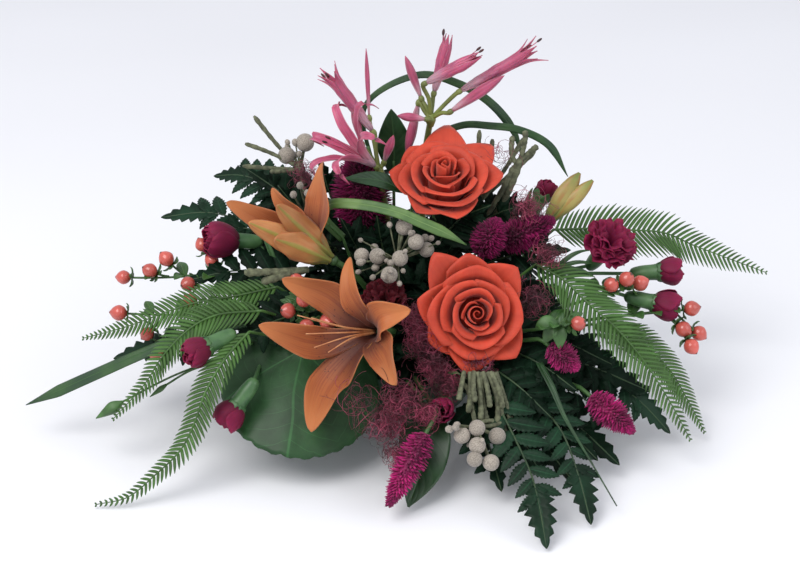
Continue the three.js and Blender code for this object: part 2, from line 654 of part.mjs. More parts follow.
// Hypericum: berries in loose clusters, each on a short stalk, with pairs of small leaves below them
const BERRY = 6;
const BERRY_STALK = 14;
const LEAF_PAIR = { reach: 21, lift: 6, widths: [1, 10, 3, 10, 1] };
const HYPERICUMS = [
  {
    name: 'hypericum_left_high', fork: at(-112, 4, 102),
    berries: [at(-221, 5, 99), at(-199, 0, 107), at(-186, 5, 115), at(-168, -10, 100), at(-150, 6, 113),
      at(-158, 12, 124)],
  },
  {
    name: 'hypericum_left_low', fork: at(-104, -30, 82),
    berries: [at(-219, -42, 90), at(-197, -48, 75), at(-164, -33, 96), at(-153, -45, 78), at(-190, -56, 64)],
  },
  {
    name: 'hypericum_centre', fork: at(-56, -62, 106),
    berries: [at(-84, -88, 114), at(-72, -90, 124), at(-70, -98, 106), at(-54, -98, 110), at(-78, -76, 133)],
  },
  {
    name: 'hypericum_right_high', fork: at(130, -30, 90),
    berries: [at(188, -26, 108), at(164, -38, 112), at(176, -36, 116)],
  },
  { name: 'hypericum_right_low', fork: at(100, -88, 98), berries: [at(132, -110, 114)] },
  {
    name: 'hypericum_right_far', fork: at(160, -26, 78),
    berries: [at(229, -30, 88), at(222, -40, 75), at(235, -37, 70), at(228, -48, 64)],
  },
];
for (const { name, fork, berries } of HYPERICUMS) {
  const [farthest, ...others] = berries;
  const branch = new THREE.Line3(fork, farthest);
  const reach = branch.distance();
  const heads = others.map((berry) => {
    const share = branch.closestPointToPointParameter(berry, true) - BERRY_STALK / reach;
    return stalkedBall(branch.at(Math.max(0.05, share), at(0, 0, 0)), berry, BERRY, 1.1, 4);
  });
  const joint = branch.at(0.32, at(0, 0, 0));
  const out = branch.delta(at(0, 0, 0)).normalize().cross(at(0, 0, 1)).multiplyScalar(LEAF_PAIR.reach);
  const pair = [-1, -0.5, 0, 0.5, 1].map((share) =>
    joint.clone().addScaledVector(out, share).add(at(0, 0, LEAF_PAIR.lift * Math.abs(share))));
  const leaves = blade(pair, (share) => LEAF_PAIR.widths[Math.round(share * 4)], at(0, 0, 1));
  const end = stalkedBall(branch.at(0.5, at(0, 0, 0)), farthest, BERRY, 1.3, 4);
  const stem = { radius: 1.5, via: [], into: [fork, branch.at(0.55, at(0, 0, 0))] };
  addPlant(name, 'hypericum', stem, [...heads, leaves, end]);
}

// Lily buds on their own short stem
const BUDS = {
  fork: at(108, 10, 130), tips: [at(142, 22, 182), at(152, 16, 178), at(150, 26, 170)], radii: [1.6, 5.6, 7, 0.8],
};
const buds = BUDS.tips.map((tip, k) => {
  const middle = BUDS.fork.clone().lerp(tip, 0.5).add(at(k * 3 - 3, k * 2 - 2, 2));
  return tube(curve([BUDS.fork, middle, tip], 3), (share) => BUDS.radii[Math.round(share * 3)], 4);
});
addPlant('lily_buds', 'lilyBud', { radius: 2, via: [], into: [BUDS.fork] }, buds);

// Grass blades: three bent into loops, and one that points straight out to the left
const GRASSES = [
  ['grass_loop_front', [at(-44, -30, 148), at(-58, -36, 168), at(-54, -44, 182), at(-32, -52, 186),
    at(-3, -60, 183), at(16, -66, 177), at(34, -70, 170), at(50, -70, 160)], 9, at(0, -0.75, 0.66)],
  ['grass_loop_high', [at(-20, 62, 165), at(-28, 60, 224), at(15, 58, 251), at(47, 50, 246), at(71, 44, 233),
    at(90, 42, 210), at(98, 40, 186)], 7, at(0, -0.9, 0.3)],
  ['grass_loop_back', [at(12, 52, 175), at(25, 50, 199), at(49, 46, 213), at(71, 34, 217), at(93, 28, 216),
    at(117, 26, 204), at(133, 24, 178)], 6, at(0, -0.9, 0.3)],
  ['grass_spear', [at(-112, -70, 97), at(-150, -75, 91), at(-190, -79, 77), at(-235, -80, 56),
    at(-290, -80, 29)], 10, at(0, -0.6, 0.8)],
];
for (const [name, route, width, facing] of GRASSES) {
  const line = curve(route, 9);
  const taper = (share) => width * Math.min(1, 6.5 * (1 - share) + 0.12);
  addPlant(name, 'grass', { radius: LEAF_STALK, via: [], into: line.slice(0, 2) }, [blade(line, taper, facing)]);
}

// Salal leaves, broad and pointed
const SALALS = [
  ['salal_back', [at(-5, 46, 172), at(-5, 44, 200), at(-7, 42, 228)], 26, at(0, -1, 0.1)],
  ['salal_low', [at(15, -116, 58), at(18, -144, 44), at(16, -168, 26), at(6, -194, 7)], 38, at(0.1, -0.7, 0.7)],
];
for (const [name, route, width, facing] of SALALS) {
  const line = curve(route, 5);
  const leaf = blade(line, lanceolate(width), facing, 0.1);
  addPlant(name, 'salal', { radius: LEAF_STALK, via: [], into: line.slice(0, 2) }, [leaf]);
}

// Galax leaf: round, with a heart-shaped notch at its stalk and a scalloped edge
const GALAX = { heart: at(-74, -97, 78), radius: 57, facing: at(0.05, -0.5, 0.87), lobes: 18, notch: 0.5 };
{
  const frame = headFrame(GALAX.heart, GALAX.facing, 0.5 * Math.PI);
  const points = [at(0, 0, 0)];
  for (const share of [0.5, 1]) {
    for (let k = 0; k <= GALAX.lobes; k++) {
      const angle = GALAX.notch / 2 + ((2 * Math.PI - GALAX.notch) * k) / GALAX.lobes;
      const scallop = share === 1 ? 1 + 0.035 * (k % 2 ? 1 : -1) : 1;
      const reach = GALAX.radius * share * scallop * (1 - 0.12 * Math.cos(angle));
      const height = 5 * Math.cos(2 * angle) * share - 9 * share * share;
      points.push(at(reach * Math.cos(angle), reach * Math.sin(angle), height));
    }
  }
  const row = GALAX.lobes + 1;
  const faces = [];
  for (let k = 1; k < row; k++) {
    faces.push([0, k, k + 1], [k, k + row, k + row + 1], [k, k + row + 1, k + 1]);
  }
  const placed = points.map((point) => point.add(at(-GALAX.radius * 0.3, 0, 0)).applyMatrix4(frame));
  const under = placed[0].clone().addScaledVector(GALAX.facing, -6);
  addPlant('galax_leaf', 'galax', { radius: LEAF_STALK, via: [], into: [under, placed[0].clone()] },
    [sheet(placed, faces, LEAF)]);
}

// Umbrella ferns
const UMBRELLAS = [
  ['umbrella_left_high', [at(-94, -50, 116), at(-127, -58, 112), at(-154, -62, 109), at(-175, -64, 103),
    at(-210, -64, 89), at(-245, -60, 77)], at(0, -0.6, 0.8), 17, 15],
  ['umbrella_left_low', [at(-104, -84, 112), at(-138, -94, 113), at(-157, -102, 106), at(-177, -112, 88),
    at(-191, -116, 67), at(-216, -120, 39)], at(-0.2, -0.6, 0.77), 16, 14],
  ['umbrella_left_front', [at(-112, -112, 108), at(-129, -134, 96), at(-142, -150, 78), at(-150, -160, 58),
    at(-160, -168, 40), at(-180, -176, 22), at(-199, -182, 8), at(-222, -184, 3)], at(-0.3, -0.6, 0.74), 18, 12],
  ['umbrella_right_high', [at(124, 34, 128), at(158, 48, 123), at(191, 54, 119), at(217, 58, 115),
    at(244, 58, 103), at(270, 57, 93), at(303, 54, 81)], at(0, -0.6, 0.8), 18, 24],
  ['umbrella_right_front', [at(104, -52, 136), at(124, -67, 130), at(142, -84, 118), at(161, -97, 105),
    at(175, -107, 92), at(189, -116, 75), at(204, -124, 52), at(218, -130, 27)], at(0.2, -0.55, 0.8), 18, 21],
  ['umbrella_right_back', [at(150, -50, 84), at(184, -60, 75), at(207, -70, 57), at(223, -80, 33),
    at(236, -88, 10)], at(0.3, -0.4, 0.85), 15, 18],
];
for (const [name, route, facing, leaflets, longest] of UMBRELLAS) {
  const [first, second] = curve(route, leaflets);
  addPlant(name, 'umbrella', { radius: LEAF_STALK, via: [], into: [first, first.clone().lerp(second, 0.5)] },
    [combFrond(route, facing, leaflets, longest)]);
}

// Leatherleaf ferns, low round the bowl and filling the back
const LEATHERS = [
  ['leather_front_left', [at(70, -134, 64), at(86, -170, 45), at(95, -196, 33), at(99, -216, 22),
    at(103, -243, 3)], at(-0.1, -0.5, 0.86), 6, 26],
  ['leather_front_right', [at(92, -116, 60), at(117, -148, 48), at(129, -180, 28), at(137, -213, 4)],
    at(0.2, -0.5, 0.84), 6, 26],
  ['leather_left_high', [at(-80, 44, 108), at(-118, 62, 120), at(-158, 72, 127), at(-198, 74, 122)],
    at(0, -0.4, 0.9), 6, 32],
  ['leather_back_left', [at(-66, 40, 136), at(-100, 52, 156), at(-128, 64, 163), at(-153, 76, 158)],
    at(-0.2, -0.5, 0.85), 6, 32],
  ['leather_left_low', [at(-96, -20, 70), at(-140, -38, 72), at(-180, -44, 64), at(-226, -42, 50)],
    at(0, -0.4, 0.9), 6, 34],
  ['leather_right_low', [at(110, -60, 66), at(150, -76, 58), at(184, -90, 38), at(208, -98, 14)],
    at(0.2, -0.5, 0.84), 6, 32],
  ['leather_rear_left', [at(-56, 50, 96), at(-76, 68, 106), at(-96, 86, 88), at(-110, 98, 48),
    at(-114, 102, 14)], at(-0.5, 0.5, 0.7), 6, 46],
  ['leather_rear_centre', [at(2, 72, 104), at(3, 98, 116), at(3, 126, 96), at(3, 145, 50), at(2, 150, 14)],
    at(0, 0.7, 0.7), 6, 50],
  ['leather_rear_right', [at(58, 48, 96), at(78, 66, 106), at(98, 84, 88), at(112, 96, 48), at(116, 100, 14)],
    at(0.5, 0.5, 0.7), 6, 46],
  ['leather_left_side', [at(-82, 16, 78), at(-112, 30, 72), at(-136, 40, 48), at(-150, 46, 12)],
    at(-0.7, 0.1, 0.7), 5, 40],
  ['leather_right_side', [at(84, 18, 78), at(114, 30, 72), at(138, 40, 48), at(152, 46, 12)],
    at(0.7, 0.1, 0.7), 5, 40],
  ['leather_tall_left', [at(-26, 54, 128), at(-36, 78, 150), at(-46, 104, 148), at(-54, 122, 118)],
    at(-0.3, 0.6, 0.75), 5, 46],
  ['leather_tall_right', [at(30, 54, 122), at(40, 78, 144), at(50, 104, 142), at(58, 122, 112)],
    at(0.3, 0.6, 0.75), 5, 46],
];
for (const [name, route, facing, pairs, longest] of LEATHERS) {
  const [first, second] = curve(route, pairs);
  addPlant(name, 'leather', { radius: LEAF_STALK, via: [], into: [first, first.clone().lerp(second, 0.5)] },
    [leatherFrond(route, facing, pairs, longest)]);
}

// Main stems: straight in the foam, then a smooth line to what they carry
const STEM_SEGMENTS = 2;
const LONG_STEM = 110;
const THICK_STEM = 2;
const rooted = plants.filter((plant) => plant.stem);
const headings = spreadHeadings(rooted.map(({ stem }) => stem.via[0] ?? stem.into[0]));
rooted.forEach((plant, k) => {
  const { radius, via, into } = plant.stem;
  const entry = onDome(headings[k]);
  const deep = HEART.clone().lerp(entry, STEM_DEPTH);
  const segments = STEM_SEGMENTS + via.length + (entry.distanceTo(into[0]) > LONG_STEM ? 1 : 0);
  const route = [deep, ...curve([entry, ...via, into[0]], segments), ...into.slice(1)];
  plant.branches.push(tube(route, () => radius, radius > THICK_STEM ? 5 : 3));
});

// The bowl and the foam
function turned(profile, sides) {
  const outline = profile.map(([radius, height]) => new THREE.Vector2(radius, height));
  return solidOf(new THREE.LatheGeometry(outline, sides).rotateX(Math.PI / 2));
}

function dishSolid() {
  const { foot, rim, height, lip, wall, floor, sides } = DISH;
  const outside = [[0, 0], [foot, 0], [rim - lip.out, height - lip.down], [rim, height]];
  const inside = [[rim - wall, height], [rim - lip.out - wall, height - lip.down], [foot + 1, floor],
    [0, floor]];
  return turned([...outside, ...inside], sides);
}

function foamSolid() {
  const { foot, waist, waistHeight, shoulder, shoulderHeight, crown, top, sides } = FOAM;
  const base = DISH.floor + GAP;
  const flank = [[foot, base], [waist, waistHeight], [shoulder, shoulderHeight], [crown, top]];
  return turned([[0, base], ...flank, [0, top + 2]], sides);
}

// Trimming: every piece leaves room for the stems of the others and for the pieces before it in the list
function joined(shapes, grow) {
  return wasm.Manifold.union(shapes.map((shape) => shape(grow)));
}

function boxesMeet(first, second) {
  const [a, b] = [first.boundingBox(), second.boundingBox()];
  return [0, 1, 2].every((axis) => a.min[axis] <= b.max[axis] && b.min[axis] <= a.max[axis]);
}

function trimmed(body, rooms) {
  return wasm.Manifold.difference([body, ...rooms.filter((room) => boxesMeet(body, room))]);
}

function largestBody(shape) {
  const bodies = shape.simplify(SMALLEST_DETAIL).decompose();
  return bodies.reduce((largest, body) => (body.volume() > largest.volume() ? body : largest));
}

const stemRooms = plants.map((plant) => (plant.branches.length ? joined(plant.branches, GAP) : null));
const taken = [];
const solids = new Map();
plants.forEach((plant, index) => {
  const otherStems = stemRooms.filter((room, k) => room && k !== index);
  const parts = [];
  if (plant.body.length) {
    parts.push(trimmed(joined(plant.body, 0), [...otherStems, ...taken]));
    taken.push(joined(plant.body, GAP));
  }
  if (plant.branches.length) parts.push(joined(plant.branches, 0));
  solids.set(plant.name, largestBody(wasm.Manifold.union(parts)));
});

const group = new THREE.Group();

function addMesh(name, colour, shape) {
  const { vertProperties, triVerts } = shape.getMesh();
  const geometry = new THREE.BufferGeometry();
  geometry.setAttribute('position', new THREE.BufferAttribute(vertProperties, 3));
  geometry.setIndex(new THREE.BufferAttribute(triVerts, 1));
  geometry.computeVertexNormals();
  const [hex, roughness] = COLOURS[colour];
  const material = new THREE.MeshStandardMaterial({ color: hex, roughness, metalness: 0 });
  const mesh = new THREE.Mesh(geometry, material);
  mesh.name = name;
  group.add(mesh);
}

addMesh('dish', 'dish', dishSolid());
addMesh('foam', 'foam', largestBody(trimmed(foamSolid(), [...stemRooms.filter(Boolean), ...taken])));
for (const { name, colour } of plants) addMesh(name, colour, solids.get(name));

export default group;
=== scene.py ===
"""Petals, leaves and finishes for the low table arrangement of cut flowers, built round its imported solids.

Tables are in millimetres in the frame of the solids: x to the viewer's right, y away from the viewer, z up,
with the origin under the middle of the bowl.
"""

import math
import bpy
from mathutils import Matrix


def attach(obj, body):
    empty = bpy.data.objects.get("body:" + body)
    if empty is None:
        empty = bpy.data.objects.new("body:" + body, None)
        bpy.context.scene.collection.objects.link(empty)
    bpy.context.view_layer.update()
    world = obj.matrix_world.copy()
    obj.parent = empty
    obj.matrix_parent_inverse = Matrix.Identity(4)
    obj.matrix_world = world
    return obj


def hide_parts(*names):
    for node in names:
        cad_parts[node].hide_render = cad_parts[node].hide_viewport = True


bl_info = {
    "name": "Low flower arrangement",
    "version": (1, 0, 0),
    "blender": (4, 5, 0),
    "location": "3D View > Sidebar > Bouquet",
    "description": "Builds the flowers, foliage, bowl and stage of a low table arrangement",
    "category": "Add Mesh",
}

from collections import namedtuple

import bpy
import numpy as np
from bpy.props import FloatProperty, FloatVectorProperty, PointerProperty

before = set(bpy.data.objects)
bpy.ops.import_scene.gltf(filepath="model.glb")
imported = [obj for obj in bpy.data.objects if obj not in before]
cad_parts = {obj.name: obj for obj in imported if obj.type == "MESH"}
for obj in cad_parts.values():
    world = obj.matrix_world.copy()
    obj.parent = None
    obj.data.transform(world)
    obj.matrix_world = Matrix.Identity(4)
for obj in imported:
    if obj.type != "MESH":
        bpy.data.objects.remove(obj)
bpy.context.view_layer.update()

MM = 0.001
BODY = "root"
GOLDEN_ANGLE = math.pi * (3 - math.sqrt(5))
STRAIGHT_UP = np.array([0.0, 0.0, 1.0])
TO_VIEWER = np.array([0.0, -0.906, 0.423])
# The angle left out at each pole of a ball, and how deep light sinks into a petal
POLE = 0.06
LIGHT_DEPTH = 2

# Bowl and foam
DISH = {"foot": 54, "rim": 75, "height": 50, "wall": 2.4, "floor": 3}
FOAM = {"foot": 46, "base": 3.3, "waist": 63, "waist_height": 55, "shoulder": 55, "shoulder_height": 76,
    "crown": 36, "top": 91}

# Where the stems enter the foam, and how thick they are
HEART = np.array([0.0, 0.0, 46.0])
DOME = np.array([72.0, 72.0, 52.0])
LOWEST_HEADING = 0.17
ENTRY_SPACING = 11.0
SPREADING_ROUNDS = 160
STEM_DEPTH = 0.5
STEM_RADII = {"rose": 2.5, "lily_stem": 2.6, "lily_buds": 2.0, "nerine": 2.8, "carnation": 1.6,
    "celosia": 1.9, "brunia": 2.0, "hypericum": 1.5, "grass": 1.3, "umbrella": 1.3, "leather": 1.3,
    "salal": 1.4, "galax": 1.5}

# The first seed of each kind's random draws
SEEDS = {"roses": 11, "lilies": 21, "nerines": 31, "carnations": 41, "plumes": 51, "brunia": 61,
    "hypericum": 71, "umbrella": 81, "leather": 91, "fibre": 101, "fronds": 105, "leaves": 106, "extras": 111}

# Roses
ROSES = {
    "rose_upper": {"base": (34, -6, 172), "axis": (0, -0.45, 0.89), "turn": 0.5, "via": (30, 8, 130),
        "outer": (7, 52, 88, 126, 170, 236, 284), "points": (15, 22, 27, 9, 12, 10, 12)},
    "rose_lower": {"base": (55, -82, 109), "axis": (0.05, -0.9, 0.42), "turn": 0.2, "via": (48, -52, 96),
        "outer": (47, 92, 129, 167, 214, 270, 319), "points": (16, 15, 23, 13, 9, 15, 13)},
}
# Each ring of petals: how many, the profile as (radius, height) pairs from foot to lip, half the angle that
# a petal spreads over, the ring's turn, how far the edges roll back, and how far the point stands out of the
# lip. The outer ring's petals stand at the angles that each rose gives in degrees, each with its own point.
ROSE_RINGS = [
    {"count": 3, "profile": [(4, 3), (8.4, 14), (8.6, 30), (9.2, 36.5), (10.6, 38)], "spread": 1.35,
        "turn": 0.2, "roll": 0.5, "point": 0.6},
    {"count": 3, "profile": [(5, 3), (11.5, 13), (12.8, 27), (14, 34.5), (17, 36.5)], "spread": 1.4,
        "turn": 1.3, "roll": 0.9, "point": 1.6},
    {"count": 3, "profile": [(6, 3), (15.5, 12), (18, 24), (20, 32), (24, 34.5)], "spread": 1.4, "turn": 0.4,
        "roll": 1.5, "point": 3.0},
    {"count": 4, "profile": [(8, 3), (19, 11), (22.5, 21), (25.5, 28.5), (30, 31)], "spread": 1.2,
        "turn": 1.35, "roll": 2.0, "point": 5.5},
    {"count": 7, "profile": [(9, 3), (22, 12), (27, 20), (30, 24.5), (32, 25.5)], "spread": 0.84,
        "turn": 0.75, "roll": 1.0, "point": 10.0},
]

# Lilies
LILY_THROAT = {"height": 17, "radius": 8, "foot": 3.4}
LILIES = {
    "lily_open_bloom": {"base": (-15, -97, 101), "axis": (-0.5, -0.78, 0.37), "rise": 34,
        "tips": [(-87, -105, 147), (-38, -92, 158), (5, -130, 134), (-102, -140, 127), (-65, -172, 59),
            (-5, -165, 93)],
        "widths": [26, 18, 27, 25, 32, 28], "sways": [-6, 0, 3, 11, -11, 5], "backs": [],
        "stamens": [(-20, 4, 10), (-24, -2, 0), (-18, -6, -9), (-8, -4, -14), (-30, 0, 14)]},
    "lily_half_bloom": {"base": (-52, -58, 143), "axis": (-0.72, -0.2, 0.6), "rise": 34,
        "tips": [(-61, -30, 211), (-131, -60, 192), (-113, -75, 181), (-93, -88, 173), (-92, -68, 192),
            (-99, -40, 194)],
        "widths": [34, 21, 20, 22, 20, 18], "sways": [-10, 0, 0, 0, 0, 0], "backs": [2, 3, 4], "stamens": []},
}
STAMEN_LENGTH = 58
# How much thicker a tepal is than a petal
TEPAL_EXTRA = 0.2
LILY_FORK = (-14, -36, 90)
LILY_FORK_BENDS = {"lily_open_bloom": (-9, -62, 80), "lily_half_bloom": (-25, -46, 112)}
LILY_BUDS = {"fork": (108, 10, 130), "tips": [(142, 22, 182), (152, 16, 178), (150, 26, 170)], "radius": 7}

# Nerines: every floret and bud is given by its throat and its tip
NERINES = {
    "nerine_right": {"hub": (24, 30, 224), "via": [(18, 34, 130), (19, 36, 185)],
        "florets": [((48, 24, 250), (106, 18, 286), "parted"), ((27, 34, 246), (38, 40, 290), "closed"),
            ((21, 22, 257), (62, 14, 282), "closed")],
        "buds": [((16, 36, 241), (4, 42, 272), 3.1), ((41, 20, 235), (80, 12, 266), 4.0),
            ((19, 22, 227), (-2, 16, 232), 3.3), ((14, 36, 233), (5, 34, 192), 3.7)]},
    "nerine_left": {"hub": (-16, 8, 187), "via": [(-8, 16, 130)],
        "florets": [((-22, 14, 221), (-57, 16, 270), "parted"), ((-20, 2, 196), (-50, -16, 228), "wide")],
        "buds": [((-12, 8, 198), (-5, 2, 221), 3.2), ((-24, 16, 232), (-26, 20, 285), 1.7),
            ((-30, 12, 212), (-37, 18, 240), 3.2)]},
}
NERINE_TEPAL_WIDTH = 7.4
# How far a floret's tepals stand from its axis in millimetres, at shares of its length
NERINE_SHAPES = {
    "closed": [(1.3, 0), (2.9, 0.16), (4.4, 0.45), (4.8, 0.7), (3.6, 0.88), (2.6, 1.0)],
    "parted": [(1.3, 0), (2.9, 0.16), (4.4, 0.45), (4.9, 0.68), (6.2, 0.84), (9.0, 0.95), (11.5, 1.02)],
    "wide": [(1.5, 0), (3.6, 0.16), (7.0, 0.38), (15, 0.7), (24, 0.92), (31, 0.97), (36, 0.84), (37, 0.66)],
}

# Carnations: each head is given by its base, axis, radius and whether it is open
CARNATIONS = {
    "carnation_left_open": {"fork": (-98, 8, 100),
        "heads": [((-133, 12, 128), (-0.9, -0.35, 0.2), 14, False)]},
    "carnation_left_buds": {"fork": (-104, -56, 66),
        "heads": [((-143, -124, 102), (-0.8, -0.5, -0.2), 10.5, False),
            ((-121, -142, 62), (-0.6, -0.35, -0.72), 11, False)]},
    "carnation_right": {"fork": (122, -2, 106),
        "heads": [((160, -4, 125), (0.35, -0.5, 0.75), 22, True),
            ((207, -4, 108), (0.99, -0.05, 0.1), 10.5, False),
            ((201, -26, 91), (0.95, -0.2, -0.15), 11.5, False)]},
    "carnation_back": {"fork": (98, 28, 132), "heads": [((114, 34, 158), (0.5, 0.1, 0.85), 7.5, False)]},
    "carnation_centre": {"fork": (6, -54, 96), "heads": [((-12, -70, 108), (0, -0.6, 0.8), 17, True)]},
    "carnation_low": {"fork": (28, -108, 60), "heads": [((32, -136, 58), (-0.1, -0.97, 0.2), 9, False)]},
}
# A bud's rings of petals: how many, the profile in shares of its radius, and the ring's turn
CUP_RINGS = [
    {"count": 3, "profile": [(0.3, 0.1), (0.45, 0.7), (0.42, 1.3), (0.3, 1.65)], "turn": 0.3},
    {"count": 3, "profile": [(0.4, 0.0), (0.68, 0.5), (0.7, 1.2), (0.52, 1.7)], "turn": 1.2},
    {"count": 4, "profile": [(0.5, -0.2), (0.76, 0.1), (0.99, 0.75), (0.95, 1.3), (0.8, 1.62)], "turn": 0.0},
]

# Cockscomb plumes: base, tip and radius
PLUMES = {
    "celosia_back_left": ((-28, 20, 134), (-34, 16, 200), 25),
    "celosia_back_centre": ((62, -46, 142), (74, -50, 171), 14),
    "celosia_back_right": ((78, -30, 144), (117, -36, 166), 14),
    "celosia_right": ((112, -104, 92), (132, -118, 81), 11),
    "celosia_low_right": ((144, -118, 56), (172, -146, 43), 12),
    "celosia_low": ((18, -164, 50), (-8, -205, 16), 12),
}

# Brunia
BRUNIAS = {
    "brunia_centre": {"fork": (-2, -48, 124), "thick": 6, "twigs": [],
        "balls": [(-29, -60, 147), (-17, -68, 150), (0, -72, 150), (12, -64, 160), (20, -58, 151),
            (3, -54, 168), (-8, -80, 140)]},
    "brunia_low": {"fork": (50, -128, 70), "thick": 6, "twigs": [(70, -150, 53), (83, -146, 53)],
        "balls": [(56, -168, 58), (45, -170, 53), (56, -176, 48), (54, -182, 40), (66, -180, 36),
            (71, -164, 49)]},
    "brunia_back_left": {"fork": (-72, 34, 140), "thick": 7, "balls": [(-91, 50, 186), (-76, 50, 197)],
        "twigs": [(-117, 60, 216), (-124, 50, 196), (-126, 42, 180), (-104, 40, 176)]},
    "brunia_back_right": {"fork": (62, 24, 150), "thick": 4, "balls": [],
        "twigs": [(63, 38, 212), (73, 34, 206), (97, 30, 208), (107, 32, 196)]},
}

# Hypericum: fork of the branch and its berries, the farthest first
BERRY = 6.0
BERRY_STALK = 14
LEAF_PAIR_REACH = 21
HYPERICUMS = {
    "hypericum_left_high": {"fork": (-112, 4, 102), "berries": [(-221, 5, 99), (-199, 0, 107),
        (-186, 5, 115), (-168, -10, 100), (-150, 6, 113), (-158, 12, 124)]},
    "hypericum_left_low": {"fork": (-104, -30, 82), "berries": [(-219, -42, 90), (-197, -48, 75),
        (-164, -33, 96), (-153, -45, 78), (-190, -56, 64)]},
    "hypericum_centre": {"fork": (-56, -62, 106), "berries": [(-84, -88, 114), (-72, -90, 124),
        (-70, -98, 106), (-54, -98, 110), (-78, -76, 133)]},
    "hypericum_right_high": {"fork": (130, -30, 90), "berries": [(188, -26, 108), (164, -38, 112),
        (176, -36, 116)]},
    "hypericum_right_low": {"fork": (100, -88, 98), "berries": [(132, -110, 114)]},
    "hypericum_right_far": {"fork": (160, -26, 78), "berries": [(229, -30, 88), (222, -40, 75),
        (235, -37, 70), (228, -48, 64)]},
}

# Grass blades: route, width and the side that faces out
GRASSES = {
    "grass_loop_front": ([(-44, -30, 148), (-58, -36, 168), (-54, -44, 182), (-32, -52, 186), (-3, -60, 183),
        (16, -66, 177), (34, -70, 170), (50, -70, 160)], 9, (0, -0.75, 0.66)),
    "grass_loop_high": ([(-20, 62, 165), (-28, 60, 224), (15, 58, 251), (47, 50, 246), (71, 44, 233),
        (90, 42, 210), (98, 40, 186)], 7, (0, -0.9, 0.3)),
    "grass_loop_back": ([(12, 52, 175), (25, 50, 199), (49, 46, 213), (71, 34, 217), (93, 28, 216),
        (117, 26, 204), (133, 24, 178)], 6, (0, -0.9, 0.3)),
    "grass_spear": ([(-112, -70, 97), (-150, -75, 91), (-190, -79, 77), (-235, -80, 56), (-290, -80, 29)],
        10, (0, -0.6, 0.8)),
}

# Broad leaves
SALALS = {
    "salal_back": ([(-5, 46, 172), (-5, 44, 200), (-7, 42, 228)], 26, (0, -1, 0.1)),
    "salal_low": ([(15, -116, 58), (18, -144, 44), (16, -168, 26), (6, -194, 7)], 38, (0.1, -0.7, 0.7)),
}
GALAX = {"heart": (-74, -97, 78), "radius": 57, "facing": (0.05, -0.5, 0.87), "notch": 0.22, "offset": 0.45,
         "ribs": 7}

# Ferns: route, facing, leaflets on each side of the solid's rib, and the longest leaflet
UMBRELLAS = {
    "umbrella_left_high": ([(-94, -50, 116), (-127, -58, 112), (-154, -62, 109), (-175, -64, 103),
        (-210, -64, 89), (-245, -60, 77)], (0, -0.6, 0.8), 17, 15),
    "umbrella_left_low": ([(-104, -84, 112), (-138, -94, 113), (-157, -102, 106), (-177, -112, 88),
        (-191, -116, 67), (-216, -120, 39)], (-0.2, -0.6, 0.77), 16, 14),
    "umbrella_left_front": ([(-112, -112, 108), (-129, -134, 96), (-142, -150, 78), (-150, -160, 58),
        (-160, -168, 40), (-180, -176, 22), (-199, -182, 8), (-222, -184, 3)], (-0.3, -0.6, 0.74), 18, 12),
    "umbrella_right_high": ([(124, 34, 128), (158, 48, 123), (191, 54, 119), (217, 58, 115), (244, 58, 103),
        (270, 57, 93), (303, 54, 81)], (0, -0.6, 0.8), 18, 24),
    "umbrella_right_front": ([(104, -52, 136), (124, -67, 130), (142, -84, 118), (161, -97, 105),
        (175, -107, 92), (189, -116, 75), (204, -124, 52), (218, -130, 27)], (0.2, -0.55, 0.8), 18, 21),
    "umbrella_right_back": ([(150, -50, 84), (184, -60, 75), (207, -70, 57), (223, -80, 33), (236, -88, 10)],
        (0.3, -0.4, 0.85), 15, 18),
}
LEATHERS = {
    "leather_front_left": ([(70, -134, 64), (86, -170, 45), (95, -196, 33), (99, -216, 22), (103, -243, 3)],
        (-0.1, -0.5, 0.86), 6, 26),
    "leather_front_right": ([(92, -116, 60), (117, -148, 48), (129, -180, 28), (137, -213, 4)],
        (0.2, -0.5, 0.84), 6, 26),
    "leather_left_high": ([(-80, 44, 108), (-118, 62, 120), (-158, 72, 127), (-198, 74, 122)],
        (0, -0.4, 0.9), 6, 32),
    "leather_back_left": ([(-66, 40, 136), (-100, 52, 156), (-128, 64, 163), (-153, 76, 158)],
        (-0.2, -0.5, 0.85), 6, 32),
    "leather_left_low": ([(-96, -20, 70), (-140, -38, 72), (-180, -44, 64), (-226, -42, 50)], (0, -0.4, 0.9),
        6, 34),
    "leather_right_low": ([(110, -60, 66), (150, -76, 58), (184, -90, 38), (208, -98, 14)],
        (0.2, -0.5, 0.84), 6, 32),
    "leather_rear_left": ([(-56, 50, 96), (-76, 68, 106), (-96, 86, 88), (-110, 98, 48), (-114, 102, 14)],
        (-0.5, 0.5, 0.7), 6, 46),
    "leather_rear_centre": ([(2, 72, 104), (3, 98, 116), (3, 126, 96), (3, 145, 50), (2, 150, 14)],
        (0, 0.7, 0.7), 6, 50),
    "leather_rear_right": ([(58, 48, 96), (78, 66, 106), (98, 84, 88), (112, 96, 48), (116, 100, 14)],
        (0.5, 0.5, 0.7), 6, 46),
    "leather_left_side": ([(-82, 16, 78), (-112, 30, 72), (-136, 40, 48), (-150, 46, 12)], (-0.7, 0.1, 0.7),
        5, 40),
    "leather_right_side": ([(84, 18, 78), (114, 30, 72), (138, 40, 48), (152, 46, 12)], (0.7, 0.1, 0.7),
        5, 40),
    "leather_tall_left": ([(-26, 54, 128), (-36, 78, 150), (-46, 104, 148), (-54, 122, 118)],
        (-0.3, 0.6, 0.75), 5, 46),
    "leather_tall_right": ([(30, 54, 122), (40, 78, 144), (50, 104, 142), (58, 122, 112)], (0.3, 0.6, 0.75),
        5, 46),
}
# Teeth on each side of a leatherleaf leaflet, and its width against its length
LEATHER_TEETH = 8.0
LEATHER_BREADTH = 0.5
